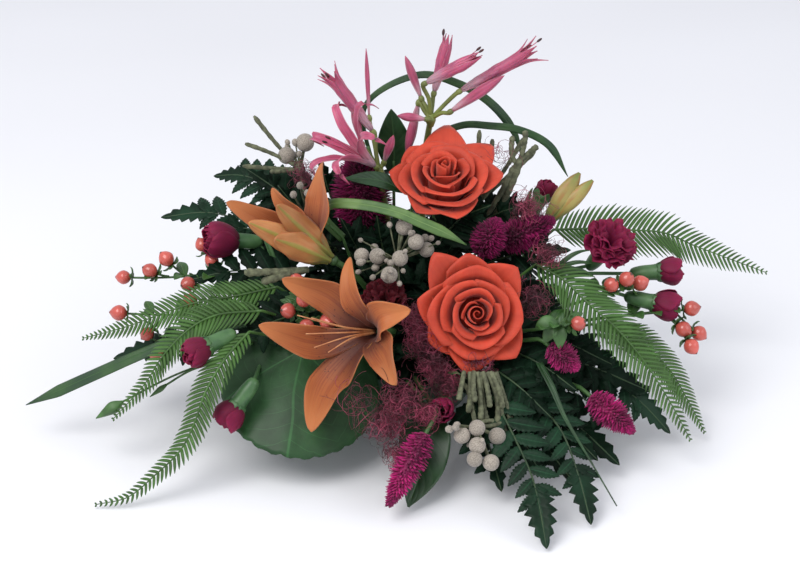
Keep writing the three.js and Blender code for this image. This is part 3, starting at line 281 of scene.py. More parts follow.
# Short fronds and leaves round the foam: how many, their reach from its heart, how far the low fronds droop,
# and the bearings in degrees and the greatest rise of the sector that stays free
FILLING = {"count": 48, "reach": (118, 118, 92), "droop": 34, "free": (-150, -100, 0.55), "leaves": 120,
    "leaf_reach": (106, 100, 84)}
# More fronds, dark with painted shade, at the front right, at the left and behind the upper flowers: start,
# middle and tip
FILLING_ROUTES = [
    [(80, -95, 62), (112, -130, 50), (146, -160, 26)], [(80, -80, 68), (130, -108, 56), (176, -128, 30)],
    [(84, -70, 76), (138, -84, 68), (190, -92, 48)], [(62, -106, 58), (84, -140, 46), (104, -178, 22)],
    [(52, -108, 54), (64, -146, 38), (74, -184, 14)], [(84, -60, 84), (124, -84, 86), (160, -98, 74)],
    [(76, -84, 82), (104, -108, 80), (132, -126, 66)], [(64, -100, 76), (88, -126, 70), (112, -146, 54)],
    [(70, -98, 56), (100, -134, 36), (128, -168, 12)], [(84, -84, 56), (128, -118, 38), (164, -146, 14)],
    [(-70, 20, 110), (-118, 30, 130), (-160, 30, 128)], [(-60, 30, 126), (-96, 44, 156), (-124, 56, 172)],
    [(-78, 0, 98), (-126, -6, 110), (-170, -8, 102)], [(-72, -30, 90), (-120, -46, 94), (-164, -56, 78)],
    [(-60, -60, 102), (-96, -82, 102), (-126, -96, 92)], [(-50, 10, 120), (-78, 10, 152), (-96, 10, 176)],
    [(-40, 24, 120), (-56, 30, 160), (-64, 34, 190)], [(40, 0, 130), (76, -4, 158), (104, -8, 168)],
    [(60, -20, 120), (96, -30, 136), (132, -34, 140)], [(30, -20, 140), (48, -26, 164), (70, -30, 176)],
    [(-20, -10, 100), (-34, -16, 134), (-46, -18, 160)], [(-6, -10, 105), (-14, -16, 136), (-18, -18, 162)],
    [(20, 0, 110), (24, -8, 140), (28, -12, 164)], [(60, 4, 120), (80, 6, 148), (92, 8, 172)],
    [(80, -30, 90), (106, -44, 98), (128, -56, 106)], [(84, -40, 84), (110, -56, 84), (136, -70, 80)],
]

# Small things that only the scene has
# Fibre: the middle of each tuft, its radius, and its share of the usual number of strands
FIBRE_TUFTS = [
    ((17, -106, 97), 15, 1.5), ((12, -94, 111), 13, 1.2), ((2, -150, 70), 16, 1.4),
    ((-10, -160, 56), 15, 1.2), ((-2, -174, 40), 12, 1.0), ((32, -126, 72), 14, 1.2),
    ((100, -88, 124), 14, 1.0), ((98, -30, 172), 15, 1.0), ((80, 16, 196), 18, 0.15),
    ((-75, 20, 181), 12, 0.8), ((112, -60, 148), 13, 0.8), ((58, -118, 84), 13, 0.9),
    ((20, -152, 60), 12, 1.2), ((24, -120, 84), 14, 1.3), ((-30, -150, 66), 22, 0.2),
]
DARK_LEAF = ([(6, -14, 180), (-16, -14, 190), (-43, -20, 194)], 13, (0.1, -0.7, 0.7))
BERRY_LEAVES = ((118, -106, 110), [(101, -104, 108), (107, -110, 97), (119, -114, 94)])
THIN_BLADE = [(104, -112, 82), (112, -130, 72), (121, -147, 56), (139, -170, 32), (157, -196, 9)]
SMALL_BALLS = [(-78, 0, 180), (-72, -6, 176), (-83, -4, 174)]
GREY_TWIGS = ((-70, -66, 138), [(-117, -78, 141), (-104, -80, 134)])
# Twigs behind the upper rose: foot, tip and how thick against a usual one
BACK_TWIGS = [
    ((72, 2, 150), (94, 11, 199), 1.7), ((66, 0, 150), (90, 10, 193), 1.4),
    ((92, 10, 194), (88, 14, 216), 1.2), ((93, 11, 195), (97, 12, 221), 1.2),
    ((90, 10, 192), (107, 10, 209), 1.3),
]
GREY_FINGERS = ((54, -130, 84), [(43, -150, 71), (55, -152, 71), (59, -154, 57), (64, -150, 54),
    (71, -152, 52), (82, -148, 53), (77, -154, 42), (50, -152, 62), (66, -148, 64), (75, -146, 62)])
# Green buds on thin stems at the left: the foot of the stem, the foot of the bud, its tip and its radius
GREEN_BUDS = [
    ((-132, -84, 74), (-210, -112, 49), (-230, -116, 37), 4.8),
    ((-140, -92, 72), (-178, -100, 57), (-190, -104, 49), 2.2),
]

# Camera: looks at a point over the middle of the bowl, from in front and above
CAMERA_TARGET = (0, 0, 91)
CAMERA_ELEVATION = 25
CAMERA_DISTANCE = 1500
CAMERA_LENS = 84.375

# Stage, in metres: half the floor's side and its height just under the bowl, and each light's place, size and
# colour with the point that both look at
FLOOR_HALF = 8.0
FLOOR_HEIGHT = -0.0006
LIGHTS = {
    "key": ((-0.9, -1.1, 1.9), 1.4, (1.0, 0.985, 0.96)),
    "fill": ((1.5, -0.7, 1.1), 1.2, (0.95, 0.97, 1.0)),
}
LIGHT_TARGET = (0, 0, 0.1)


# Points, lines and directions

def points_of(*rows):
    """Rows of numbers as one array of decimals."""
    return np.array(rows, float)


def unit(vectors):
    """Each vector divided by its own length."""
    vectors = np.asarray(vectors, float)
    length = np.linalg.norm(vectors, axis=-1, keepdims=True)
    return vectors / np.maximum(length, 1e-9)


def shares(count):
    """Evenly spaced shares from 0 to 1."""
    return np.linspace(0, 1, count)


def even_angles(count):
    """Evenly spaced angles round a full turn."""
    return 2 * np.pi * np.arange(count) / count


def smooth_line(points, count):
    """Evenly spaced points on a smooth curve through the given ones.

    Between two neighbours runs a cubic whose end slopes are the slope before, less the slope over both spans,
    plus the slope after, and a span's time is the square root of its length.
    """
    given = np.asarray(points, float)
    knots = np.concatenate([[2 * given[0] - given[1]], given, [2 * given[-1] - given[-2]]])
    time = np.sqrt(np.linalg.norm(np.diff(knots, axis=0), axis=1))
    slope = np.diff(knots, axis=0) / time[:, None]
    wide = (knots[2:] - knots[:-2]) / (time[:-1] + time[1:])[:, None]
    tangent = slope[:-1] - wide + slope[1:]
    share = shares(40)[None, :, None]
    step = time[1:-1, None, None]
    start, end = given[:-1, None], given[1:, None]
    leave, arrive = tangent[:-1, None] * step, tangent[1:, None] * step
    cubic = ((2 * share**3 - 3 * share**2 + 1) * start + (share**3 - 2 * share**2 + share) * leave
             + (3 * share**2 - 2 * share**3) * end + (share**3 - share**2) * arrive)
    path = cubic.reshape(-1, given.shape[1])
    walked = np.concatenate([[0], np.cumsum(np.linalg.norm(np.diff(path, axis=0), axis=1))])
    stops = np.linspace(0, walked[-1], count)
    return np.stack([np.interp(stops, walked, path[:, axis]) for axis in range(path.shape[1])], axis=-1)


def head_turn(axis, turn=0.0):
    """The rotation that tips the z axis onto the given axis by the shortest way, after a turn about z."""
    aim = unit(axis)
    spin = np.array([[math.cos(turn), -math.sin(turn), 0], [math.sin(turn), math.cos(turn), 0], [0, 0, 1]])
    skew = np.array([[0, 0, aim[0]], [0, 0, aim[1]], [-aim[0], -aim[1], 0]])
    return (np.eye(3) + skew + skew @ skew / (1 + aim[2])) @ spin


def placed(points, base, axis, turn=0.0):
    """Points of a head's own frame put in the arrangement: turned onto the axis, then moved to the base."""
    return points @ head_turn(axis, turn).T + np.asarray(base, float)


def polar(radius, angle, height):
    """Points at that radius, angle and height round the z axis."""
    return np.stack(np.broadcast_arrays(radius * np.cos(angle), radius * np.sin(angle), height), axis=-1)


def across_to(axes):
    """Two directions across each axis: the first is square to it and to the less parallel of z and x."""
    axes = unit(axes)
    helper = np.where(np.abs(axes[..., 2:]) > 0.8, [1.0, 0.0, 0.0], STRAIGHT_UP)
    first = unit(helper - np.sum(helper * axes, axis=-1, keepdims=True) * axes)
    return first, np.cross(axes, first)


# Skins: closed surfaces kept as arrays, with a leaf map, a tint for each blade and a paint for each face

Skin = namedtuple("Skin", "points faces leaf tint paint")


def merged(*skins):
    """Several skins as one: each one's faces count on from the points before it."""
    starts = np.cumsum([0] + [len(skin.points) for skin in skins[:-1]])
    moved = [skin._replace(faces=skin.faces + start) for skin, start in zip(skins, starts)]
    return Skin(*[np.concatenate(arrays) for arrays in zip(*moved)])


def repeated(faces, points_each, count):
    """The same faces for every copy, each copy's numbers moved on by the points before it."""
    return (faces[None] + points_each * np.arange(count)[:, None, None]).reshape(-1, 4)


def slab(middle, thickness, tint=0.5, front=0, back=None):
    """Closed thin blades from grids of middle points, shaped (blades, rows, columns, 3).

    Both faces are the middle surface moved along its normal, the row direction crossed with the column
    direction, by half the thickness, and a wall joins them round the edge.
    """
    count, rows, columns = middle.shape[:3]
    normal = unit(np.cross(np.gradient(middle, axis=1), np.gradient(middle, axis=2)))
    half = normal * thickness / 2
    size = rows * columns
    both = np.stack([middle + half, middle - half], axis=1).reshape(-1, 3)
    index = np.arange(size).reshape(rows, columns)
    top = np.stack([index[:-1, :-1], index[1:, :-1], index[1:, 1:], index[:-1, 1:]], axis=-1).reshape(-1, 4)
    edge = np.concatenate([index[:, 0], index[-1, 1:], index[-2::-1, -1], index[0, -2:0:-1]])
    ahead = np.roll(edge, -1)
    wall = np.stack([ahead, edge, edge + size, ahead + size], axis=-1)
    faces = np.concatenate([top, top[:, ::-1] + size, wall])
    back = front if back is None else back
    paint = np.concatenate([np.full(len(top), front), np.full(len(top) + len(wall), back)])
    down, over = np.meshgrid(shares(rows), shares(columns), indexing="ij")
    leaf = np.tile(np.stack([over, down], axis=-1).reshape(-1, 2), (2 * count, 1))
    tints = np.repeat(np.broadcast_to(tint, count), 2 * size)
    return Skin(both, repeated(faces, 2 * size, count), leaf, tints, np.tile(paint, count))


def loft(rings, tint=0.5, paint=0):
    """Closed rods and balls from rings of points, shaped (bodies, rows, sides, 3).

    The number of sides is even. Neighbouring rings are joined all round, and each end is closed by faces that
    meet at its middle point.
    """
    count, rows, sides = rings.shape[:3]
    size = rows * sides
    ends = rings[:, [0, -1]].mean(axis=2)
    points = np.concatenate([rings.reshape(count, size, 3), ends], axis=1)
    index = np.arange(size).reshape(rows, sides)
    ahead = np.roll(index, -1, axis=1)
    wall = np.stack([index[:-1], ahead[:-1], ahead[1:], index[1:]], axis=-1).reshape(-1, 4)
    side = np.arange(0, sides, 2)
    lid = np.stack([side, (side + 1) % sides, (side + 2) % sides], axis=-1)
    start = np.concatenate([np.full((len(lid), 1), size), lid[:, ::-1]], axis=1)
    finish = np.concatenate([np.full((len(lid), 1), size + 1), lid + size - sides], axis=1)
    faces = np.concatenate([wall, start, finish])
    over, along = np.meshgrid(np.arange(sides) / sides, shares(rows))
    map_each = np.concatenate([np.stack([over, along], axis=-1).reshape(-1, 2), [[0.5, 0], [0.5, 1]]])
    return Skin(
        points.reshape(-1, 3),
        repeated(faces, size + 2, count),
        np.tile(map_each, (count, 1)),
        np.repeat(np.broadcast_to(tint, count), size + 2),
        np.full(count * len(faces), paint),
    )


def rods(lines, radii, sides=6, tint=0.5, paint=0):
    """Round rods along lines shaped (rods, rows, 3).

    A ring stands square to the line at each point, and its first direction is the last ring's, less the part
    that runs along the line, so that the rings turn as little as they can.
    """
    lines = np.asarray(lines, float)
    along = unit(np.gradient(lines, axis=1))
    first = np.empty_like(along)
    first[:, 0] = across_to(along[:, 0])[0]
    for row in range(1, lines.shape[1]):
        before, here = first[:, row - 1], along[:, row]
        first[:, row] = unit(before - np.sum(before * here, axis=-1, keepdims=True) * here)
    second = np.cross(along, first)
    angle = even_angles(sides)[:, None]
    reach = np.broadcast_to(radii, lines.shape[:2])[..., None, None]
    round_it = np.cos(angle) * first[:, :, None] + np.sin(angle) * second[:, :, None]
    return loft(lines[:, :, None] + reach * round_it, tint, paint)


def turned(profile, bases, axes, sizes=1.0, sides=16, lobes=0, lobe_depth=0.0, tint=0.5, paint=0):
    """Bodies of revolution: the profile, rows of (radius, height), is carried round each axis from each base.

    Lobes make the radius swell and shrink by lobe_depth as the cosine of lobes times the angle.
    """
    bases, axes = np.atleast_2d(np.asarray(bases, float)), np.atleast_2d(np.asarray(axes, float))
    axes = np.broadcast_to(unit(axes), bases.shape)
    first, second = across_to(axes)
    profile = np.asarray(profile, float)
    angle = even_angles(sides)
    swell = 1 + lobe_depth * np.cos(lobes * angle)
    reach = (profile[:, :1] * swell)[None, :, :, None]
    size = np.broadcast_to(sizes, len(bases))[:, None, None, None]
    round_it = (np.cos(angle)[None, None, :, None] * first[:, None, None]
                + np.sin(angle)[None, None, :, None] * second[:, None, None])
    rise = profile[None, :, 1, None, None] * axes[:, None, None]
    return loft(bases[:, None, None] + size * (reach * round_it + rise), tint, paint)


def ball_profile(radius, stretch=1.0, rows=11):
    """A ball's radius and height at each row: the sine and cosine of half a turn, less a small pole."""
    angle = np.linspace(POLE, np.pi - POLE, rows)
    return np.stack([radius * np.sin(angle), -radius * stretch * np.cos(angle)], axis=-1)


def blades(lines, widths, facing, columns=7, cup=0.0, groove=0.0, wave=(0.0, 3.0), ripple=(0.0, 2.0),
           phase=0.0):
    """Grids of blades along lines shaped (blades, rows, 3).

    Across the blade runs the facing direction crossed with the line's own. The edges lift towards the facing
    side by cup times half the width times the square of the share across; the groove sinks the midrib; the
    wave is a sine along the length that grows with the cube of the share across; and the ripple is a sine
    across the blade that grows with the square of the share along.
    """
    lines = np.asarray(lines, float)
    along = unit(np.gradient(lines, axis=1))
    side = unit(np.cross(np.broadcast_to(facing, along.shape), along))
    lift_way = np.cross(along, side)
    over = np.linspace(-1, 1, columns)
    share = shares(lines.shape[1])[None, :, None]
    half = np.broadcast_to(widths, lines.shape[:2])[..., None] / 2
    phase = np.broadcast_to(phase, len(lines))[:, None, None]
    fade = np.sin(np.pi * share)
    lift = (cup * half * over**2 - groove * np.exp(-(over / 0.16) ** 2) * fade
            + wave[0] * np.sin(2 * np.pi * wave[1] * share + phase) * np.abs(over) ** 3 * fade
            + ripple[0] * np.sin(np.pi * ripple[1] * over + phase) * share**2)
    return (lines[:, :, None] + (half * over)[..., None] * side[:, :, None]
            + lift[..., None] * lift_way[:, :, None])


def lance(share, fullest=0.45, base=0.2, tip=0.03):
    """A leaf's width along its length: a quarter sine up to the fullest place, then a quarter cosine."""
    rising = base + (1 - base) * np.sin(np.pi / 2 * share / fullest)
    falling = np.cos(np.pi / 2 * (share - fullest) / (1 - fullest)) ** 0.85
    return np.maximum(tip, np.where(share < fullest, rising, np.nan_to_num(falling)))


# Materials

def scaled(colour, factor):
    """A colour made lighter or darker by one factor, each part kept at or under 1."""
    return tuple(min(1.0, part * factor) for part in colour)


def shades(colour, *factors):
    """The same colour at several factors."""
    return [scaled(colour, factor) for factor in factors]


class Finish:
    """One material's nodes. Most methods add a node and give back the socket that comes out of it."""

    def __init__(self, name, roughness, **constants):
        self.material = bpy.data.materials.new(name)
        self.material.use_nodes = True
        self.tree = self.material.node_tree
        self.surface = self.tree.nodes["Principled BSDF"]
        for socket, value in {"roughness": roughness, **constants}.items():
            self.surface.inputs[socket.replace("_", " ").title().replace("Ior", "IOR")].default_value = value

    def feed(self, socket, value):
        if isinstance(value, bpy.types.NodeSocket):
            self.tree.links.new(value, socket)
        elif socket.type == "RGBA":
            socket.default_value = (*value[:3], 1.0)
        else:
            socket.default_value = value

    def node(self, kind, inputs, output=0, **settings):
        """A node of that kind with its settings made and its inputs fed, seen from one of its outputs."""
        node = self.tree.nodes.new(f"ShaderNode{kind}")
        for name, value in settings.items():
            setattr(node, name, value)
        for socket, value in inputs.items():
            self.feed(node.inputs[socket], value)
        return node.outputs[output]

    def maths(self, operation, first, second=0.0, third=0.0, clamp=False):
        return self.node("Math", {0: first, 1: second, 2: third}, operation=operation, use_clamp=clamp)

    def times(self, first, second):
        return self.maths("MULTIPLY", first, second)

    def blend(self, share, first, second):
        return self.node("Mix", {"Factor": share, 6: first, 7: second}, 2, data_type="RGBA")

    def band(self, value, low, high, to_low=0.0, to_high=1.0):
        """A smooth step from one number to another while the value runs from low to high."""
        return self.node("MapRange", {0: value, 1: low, 2: high, 3: to_low, 4: to_high},
                         interpolation_type="SMOOTHSTEP")

    def laid(self, colour, over, value, low, high, least=0.0, most=1.0):
        """A colour with another laid over it by a smooth step of the value."""
        return self.blend(self.band(value, low, high, least, most), colour, over)

    def leaf_map(self):
        """The share across a blade and the share along it."""
        across = self.node("SeparateXYZ", {0: self.node("UVMap", {}, uv_map="leaf")})
        return across, across.node.outputs[1]

    def edge_share(self, across):
        """0 on a blade's midrib and 1 at its edges."""
        return self.times(self.maths("ABSOLUTE", self.maths("SUBTRACT", across, 0.5)), 2.0)

    def noise(self, scale, detail=3.0, stretch=(1, 1, 1), on_leaf=False):
        """Noise in the object's own coordinates or on the leaf map, stretched by a factor on each axis."""
        where = self.node("UVMap", {}, uv_map="leaf") if on_leaf else self.node("TexCoord", {}, "Object")
        place = self.node("Mapping", {"Vector": where, "Scale": stretch})
        return self.node("TexNoise", {"Vector": place, "Scale": scale, "Detail": detail}, "Fac")

    def cells(self, scale):
        """The distance from the nearest of many scattered points, in the object's own coordinates."""
        place = self.node("TexCoord", {}, "Object")
        return self.node("TexVoronoi", {"Vector": place, "Scale": scale}, "Distance")

    def bump(self, height, strength, distance):
        raised = self.node("Bump", {"Strength": strength, "Distance": distance * MM, "Height": height})
        self.feed(self.surface.inputs["Normal"], raised)

    def shown(self, colour, value=1.0):
        """The finished material, its colour made lighter or darker by the value."""
        base = self.node("HueSaturation", {"Value": value, "Color": colour})
        self.feed(self.surface.inputs["Base Color"], base)
        return self.material

    def varied(self, colour, spread, value=None):
        """The finished material, lighter or darker from blade to blade by half the spread."""
        tint = self.node("Attribute", {}, "Fac", attribute_name="tint")
        own = self.maths("MULTIPLY_ADD", tint, spread, 1 - spread / 2)
        return self.shown(colour, own if value is None else self.times(value, own))


def petal_finish(name, base, body, tip, lines, roughness=0.5, rim=None, edge=0.12, line_count=26.0,
                 line_depth=0.3, rib=None, gloss=0.5, sheen=0.12):
    """A petal: its colour runs from base to tip, with fine lines, a rim colour that is partly painted
    highlight, and perhaps a rib.
    """
    finish = Finish(name, roughness, subsurface_weight=0.25, subsurface_scale=LIGHT_DEPTH * MM,
                    sheen_weight=sheen, specular_ior_level=gloss)
    across, along = finish.leaf_map()
    side = finish.edge_share(across)
    streak = finish.noise(1.0, 2.0, (line_count, 1.6, 1.0), on_leaf=True)
    colour = finish.laid(base, body, along, 0.05, 0.45)
    colour = finish.laid(colour, tip, along, 0.6, 1.0)
    colour = finish.laid(colour, lines, streak, 0.42, 0.66, 0.0, line_depth)
    # The rim colour, lighter unless given: partly the petal's own edge colour, partly a painted highlight
    # where the thin edge catches light
    colour = finish.laid(colour, rim or scaled(body, 1.6), side, 0.86, 1.0, 0.0, edge)
    if rib:
        colour = finish.laid(colour, rib, side, 0.24, 0.06, 0.0, 0.75)
    finish.bump(streak, 0.35, 0.5)
    return finish.varied(colour, 0.26, finish.band(finish.noise(70.0), 0.3, 0.7, 0.9, 1.08))


def throat_finish(name, body, tip, lines, throat, speckle):
    """A lily's inside: petal colours, with a dark throat and small dark speckles round it."""
    finish = Finish(name, 0.62, subsurface_weight=0.08, subsurface_scale=LIGHT_DEPTH * MM, sheen_weight=0.1)
    across, along = finish.leaf_map()
    side = finish.edge_share(across)
    near = finish.band(along, 0.95, 0.3)
    streak = finish.noise(1.0, 2.0, (22.0, 1.4, 1.0), on_leaf=True)
    colour = finish.laid(body, tip, along, 0.55, 1.0)
    colour = finish.blend(finish.times(finish.band(streak, 0.46, 0.62, 0.0, 0.75), near), colour, lines)
    colour = finish.blend(finish.times(finish.band(side, 0.13, 0.02, 0.0, 0.5), near), colour, lines)
    deep = finish.maths("SUBTRACT", finish.band(along, 0.66, 0.24), finish.times(streak, 0.3), clamp=True)
    colour = finish.blend(deep, colour, throat)
    spread = finish.times(finish.band(along, 0.62, 0.42), finish.band(along, 0.16, 0.26))
    colour = finish.blend(finish.times(finish.band(finish.cells(330.0), 0.2, 0.1), spread), colour, speckle)
    # A lighter edge on the tepal: partly its own paler margin, partly a painted highlight where the edge
    # catches light
    colour = finish.laid(colour, scaled(body, 1.5), side, 0.9, 1.0, 0.0, 0.2)
    finish.bump(streak, 0.4, 0.6)
    return finish.varied(colour, 0.2)


def leaf_finish(name, dark, light, rib, roughness=0.35, veins=9.0, slope=2.2, vein_share=0.35, rib_width=0.05,
                gloss=0.5):
    """A leaf: a paler midrib, side veins that slant forward to the edge, and soft patches of two greens."""
    finish = Finish(name, roughness, specular_ior_level=gloss)
    across, along = finish.leaf_map()
    side = finish.edge_share(across)
    lean = finish.maths("SUBTRACT", finish.times(along, veins), finish.times(side, slope))
    wave = finish.maths("ABSOLUTE", finish.maths("SINE", finish.times(lean, math.pi)))
    colour = finish.laid(dark, light, finish.noise(45.0), 0.35, 0.7)
    colour = finish.laid(colour, rib, wave, 0.16, 0.02, 0.0, vein_share)
    colour = finish.laid(colour, rib, side, rib_width * 1.8, rib_width, 0.0, 0.8)
    finish.bump(finish.maths("MULTIPLY_ADD", wave, 0.6, finish.band(side, 0.0, 0.1)), 0.5, 0.5)
    return finish.varied(colour, 0.4)


def grain_finish(name, dark, light, roughness, scale=160.0, bump=0.25, tint=0.3, **constants):
    """A plain surface with a fine grain between two colours, used for stems, felt, foam and plumes."""
    finish = Finish(name, roughness, **constants)
    grain = finish.noise(scale, 4.0)
    finish.bump(grain, bump, 0.5)
    return finish.varied(finish.laid(dark, light, grain, 0.3, 0.7), tint)


def stem_material(colours):
    """Green stems with a fine grain."""
    return grain_finish("Stem", *shades(colours.stem, 0.55, 1.35), 0.5, 70.0)


def berry_finish(name, body, blush, tip):
    """A glossy berry: two reds in soft patches, and a dark spot at its tip."""
    finish = Finish(name, 0.22, coat_weight=0.35, coat_roughness=0.15)
    colour = finish.laid(body, blush, finish.noise(110.0), 0.3, 0.72)
    return finish.varied(finish.laid(colour, tip, finish.leaf_map()[1], 0.9, 0.98), 0.3)


def felt_finish(name, dark, light):
    """A brunia ball: small felted florets side by side, with painted shade in the gaps between them."""
    finish = Finish(name, 0.85, sheen_weight=0.3)
    distance = finish.cells(1250.0)
    finish.bump(finish.maths("SUBTRACT", 1.0, distance), 0.4, 0.4)
    # Painted shade: the colour darkens away from the middle of each floret, in the gaps where shade falls
    return finish.varied(finish.laid(light, dark, distance, 0.25, 0.75), 0.3)


def galax_finish(name, green):
    """A round leaf with pale ribs that fan out from its stalk and finer veins between them."""
    finish = Finish(name, 0.45, specular_ior_level=0.35)
    around, out = finish.leaf_map()
    dark, light, rib = shades(green, 0.85, 1.6, 4.0)
    bent = finish.maths("MULTIPLY_ADD", finish.noise(14.0, 1.0), 0.03, around)
    fan = finish.maths("FRACT", finish.times(bent, float(GALAX["ribs"])))
    wave = finish.maths("ABSOLUTE", finish.maths("SUBTRACT", fan, 0.5))
    narrow = finish.times(wave, finish.maths("MULTIPLY_ADD", out, 0.9, 0.15))
    lean = finish.maths("MULTIPLY_ADD", wave, -3.0, finish.times(out, 7.0))
    vein = finish.maths("ABSOLUTE", finish.maths("SINE", finish.times(lean, math.pi)))
    fine = finish.noise(130.0, 5.0)
    colour = finish.laid(dark, light, finish.noise(30.0), 0.3, 0.75)
    colour = finish.laid(colour, rib, narrow, 0.02, 0.006, 0.0, 0.4)
    colour = finish.laid(colour, rib, vein, 0.09, 0.02, 0.0, 0.25)
    finish.bump(fine, 0.35, 0.7)
    return finish.shown(colour, finish.band(fine, 0.3, 0.7, 0.9, 1.1))


# Pieces

def linked(name, data):
    """A new object of the scene with that data."""
    made = bpy.data.objects.new(name, data)
    bpy.context.scene.collection.objects.link(made)
    return made


def make_piece(name, skin, materials, nodes=()):
    """A mesh object from a skin, in metres, that rides on the arrangement and stands for the given solids."""
    mesh = bpy.data.meshes.new(name)
    count = len(skin.faces)
    mesh.vertices.add(len(skin.points))
    mesh.vertices.foreach_set("co", (skin.points * MM).astype(np.float32).ravel())
    mesh.loops.add(4 * count)
    mesh.loops.foreach_set("vertex_index", skin.faces.astype(np.int32).ravel())
    mesh.polygons.add(count)
    mesh.polygons.foreach_set("loop_start", np.arange(0, 4 * count, 4, dtype=np.int32))
    mesh.polygons.foreach_set("material_index", skin.paint.astype(np.int32))
    mesh.polygons.foreach_set("use_smooth", np.ones(count, dtype=bool))
    leaf = mesh.uv_layers.new(name="leaf")
    leaf.data.foreach_set("uv", skin.leaf[skin.faces.ravel()].astype(np.float32).ravel())
    tint = mesh.attributes.new("tint", "FLOAT", "POINT")
    tint.data.foreach_set("value", skin.tint.astype(np.float32))
    for material in materials:
        mesh.materials.append(material)
    mesh.update(calc_edges=True)
    if mesh.validate():
        raise RuntimeError(f"the mesh of {name} had broken faces")
    piece = linked(name, mesh)
    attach(piece, BODY)
    if nodes:
        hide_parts(*nodes)


# Stems

def lily_necks():
    """Where each lily bloom sits on its fork."""
    return {name: np.array(lily["base"]) - 0.64 * unit(lily["axis"]) for name, lily in LILIES.items()}


def stem_ends():
    """For every rooted plant, the points that its stem passes and those where it runs into its head."""
    ends = {}
    for name, rose in ROSES.items():
        ends[f"{name}_stem"] = ([rose["via"]], [placed(points_of(0, 0, -12), rose["base"], rose["axis"])])
    ends["lily_stem"] = ([], [LILY_FORK])
    for name, nerine in NERINES.items():
        ends[name] = (nerine["via"], [nerine["hub"]])
    for name, spray in CARNATIONS.items():
        ends[name] = ([], [spray["fork"]])
    for name, (base, tip, _) in PLUMES.items():
        base, tip = points_of(base, tip)
        ends[name] = ([], [base - 0.35 * (tip - base), base + 0.15 * (tip - base)])
    for name, brunia in BRUNIAS.items():
        ends[name] = ([], [brunia["fork"], brunia_crown(brunia)])
    for name, spray in HYPERICUMS.items():
        fork, far = points_of(spray["fork"], spray["berries"][0])
        ends[name] = ([], [fork, fork + 0.55 * (far - fork)])
    ends["lily_buds"] = ([], [LILY_BUDS["fork"]])
    for name, (route, _, _) in {**GRASSES, **SALALS}.items():
        ends[name] = ([], list(smooth_line(route, 10 if name in GRASSES else 6)[:2]))
    ends["galax_leaf"] = ([], galax_stalk())
    for name, (route, _, leaflets, _) in {**UMBRELLAS, **LEATHERS}.items():
        first, second = smooth_line(route, leaflets + 1)[:2]
        ends[name] = ([], [first, (first + second) / 2])
    return ends


def brunia_crown(brunia):
    """The knob where a brunia's balls or twigs meet."""
    fork = points_of(*brunia["fork"])
    if brunia["balls"]:
        return fork + 0.7 * (points_of(*brunia["balls"]).mean(axis=0) - fork)
    return fork + points_of(0, 0, 5)


def galax_stalk():
    """Two points under the notch of the round leaf."""
    facing = unit(GALAX["facing"])
    top = placed(points_of(-0.3 * GALAX["radius"], 0, 0), GALAX["heart"], facing, math.pi / 2)
    return [top - 6 * facing, top]


def spread_entries(targets):
    """Where each stem enters the foam: towards its head, and pushed apart from its neighbours.

    In each round every pair of entries that is closer than the spacing moves apart by a quarter of what is
    missing, and no entry sinks below the lowest heading.
    """
    headings = unit(targets - HEART)
    for _ in range(SPREADING_ROUNDS):
        entries = headings * DOME
        apart = entries[None] - entries[:, None]
        distance = np.linalg.norm(apart, axis=-1)
        np.fill_diagonal(distance, np.inf)
        missing = np.maximum(0, ENTRY_SPACING - distance) / (4 * DOME[0])
        push = (unit(apart) * missing[..., None]).sum(axis=0)
        headings = unit(headings + push)
        headings[:, 2] = np.maximum(headings[:, 2], LOWEST_HEADING)
        headings = unit(headings)
    return HEART + headings * DOME


def stem_lines(rows=26):
    """Every stem's line: straight in the foam, then a smooth curve to its head."""
    ends = stem_ends()
    targets = points_of(*[(list(via) + list(into))[0] for via, into in ends.values()])
    lines = {}
    for (name, (via, into)), entry in zip(ends.items(), spread_entries(targets)):
        deep = HEART + STEM_DEPTH * (entry - HEART)
        outside = smooth_line([entry, *via, into[0]], rows)
        lines[name] = smooth_line([deep, *outside[::4], *into], rows)
    return lines


STEMS = stem_lines()


def stem_skin(name, paint=1):
    """The main stem of a plant as one rod that tapers a little towards its head."""
    line = STEMS[name][None]
    radius = next(size for plant, size in STEM_RADII.items() if name.startswith(plant))
    return rods(line, radius * np.linspace(1.05, 0.85, line.shape[1]), 8, paint=paint)


def bowed_lines(starts, ends, bow, rows):
    """Lines from starts to ends that bow by the given vectors: a parabola, with its top in the middle."""
    starts, ends = np.asarray(starts, float), np.asarray(ends, float)
    share = shares(rows)[None, :, None]
    arch = 4 * share * (1 - share)
    return starts[:, None] + share * (ends - starts)[:, None] + arch * np.asarray(bow, float)[:, None]


# Flower heads

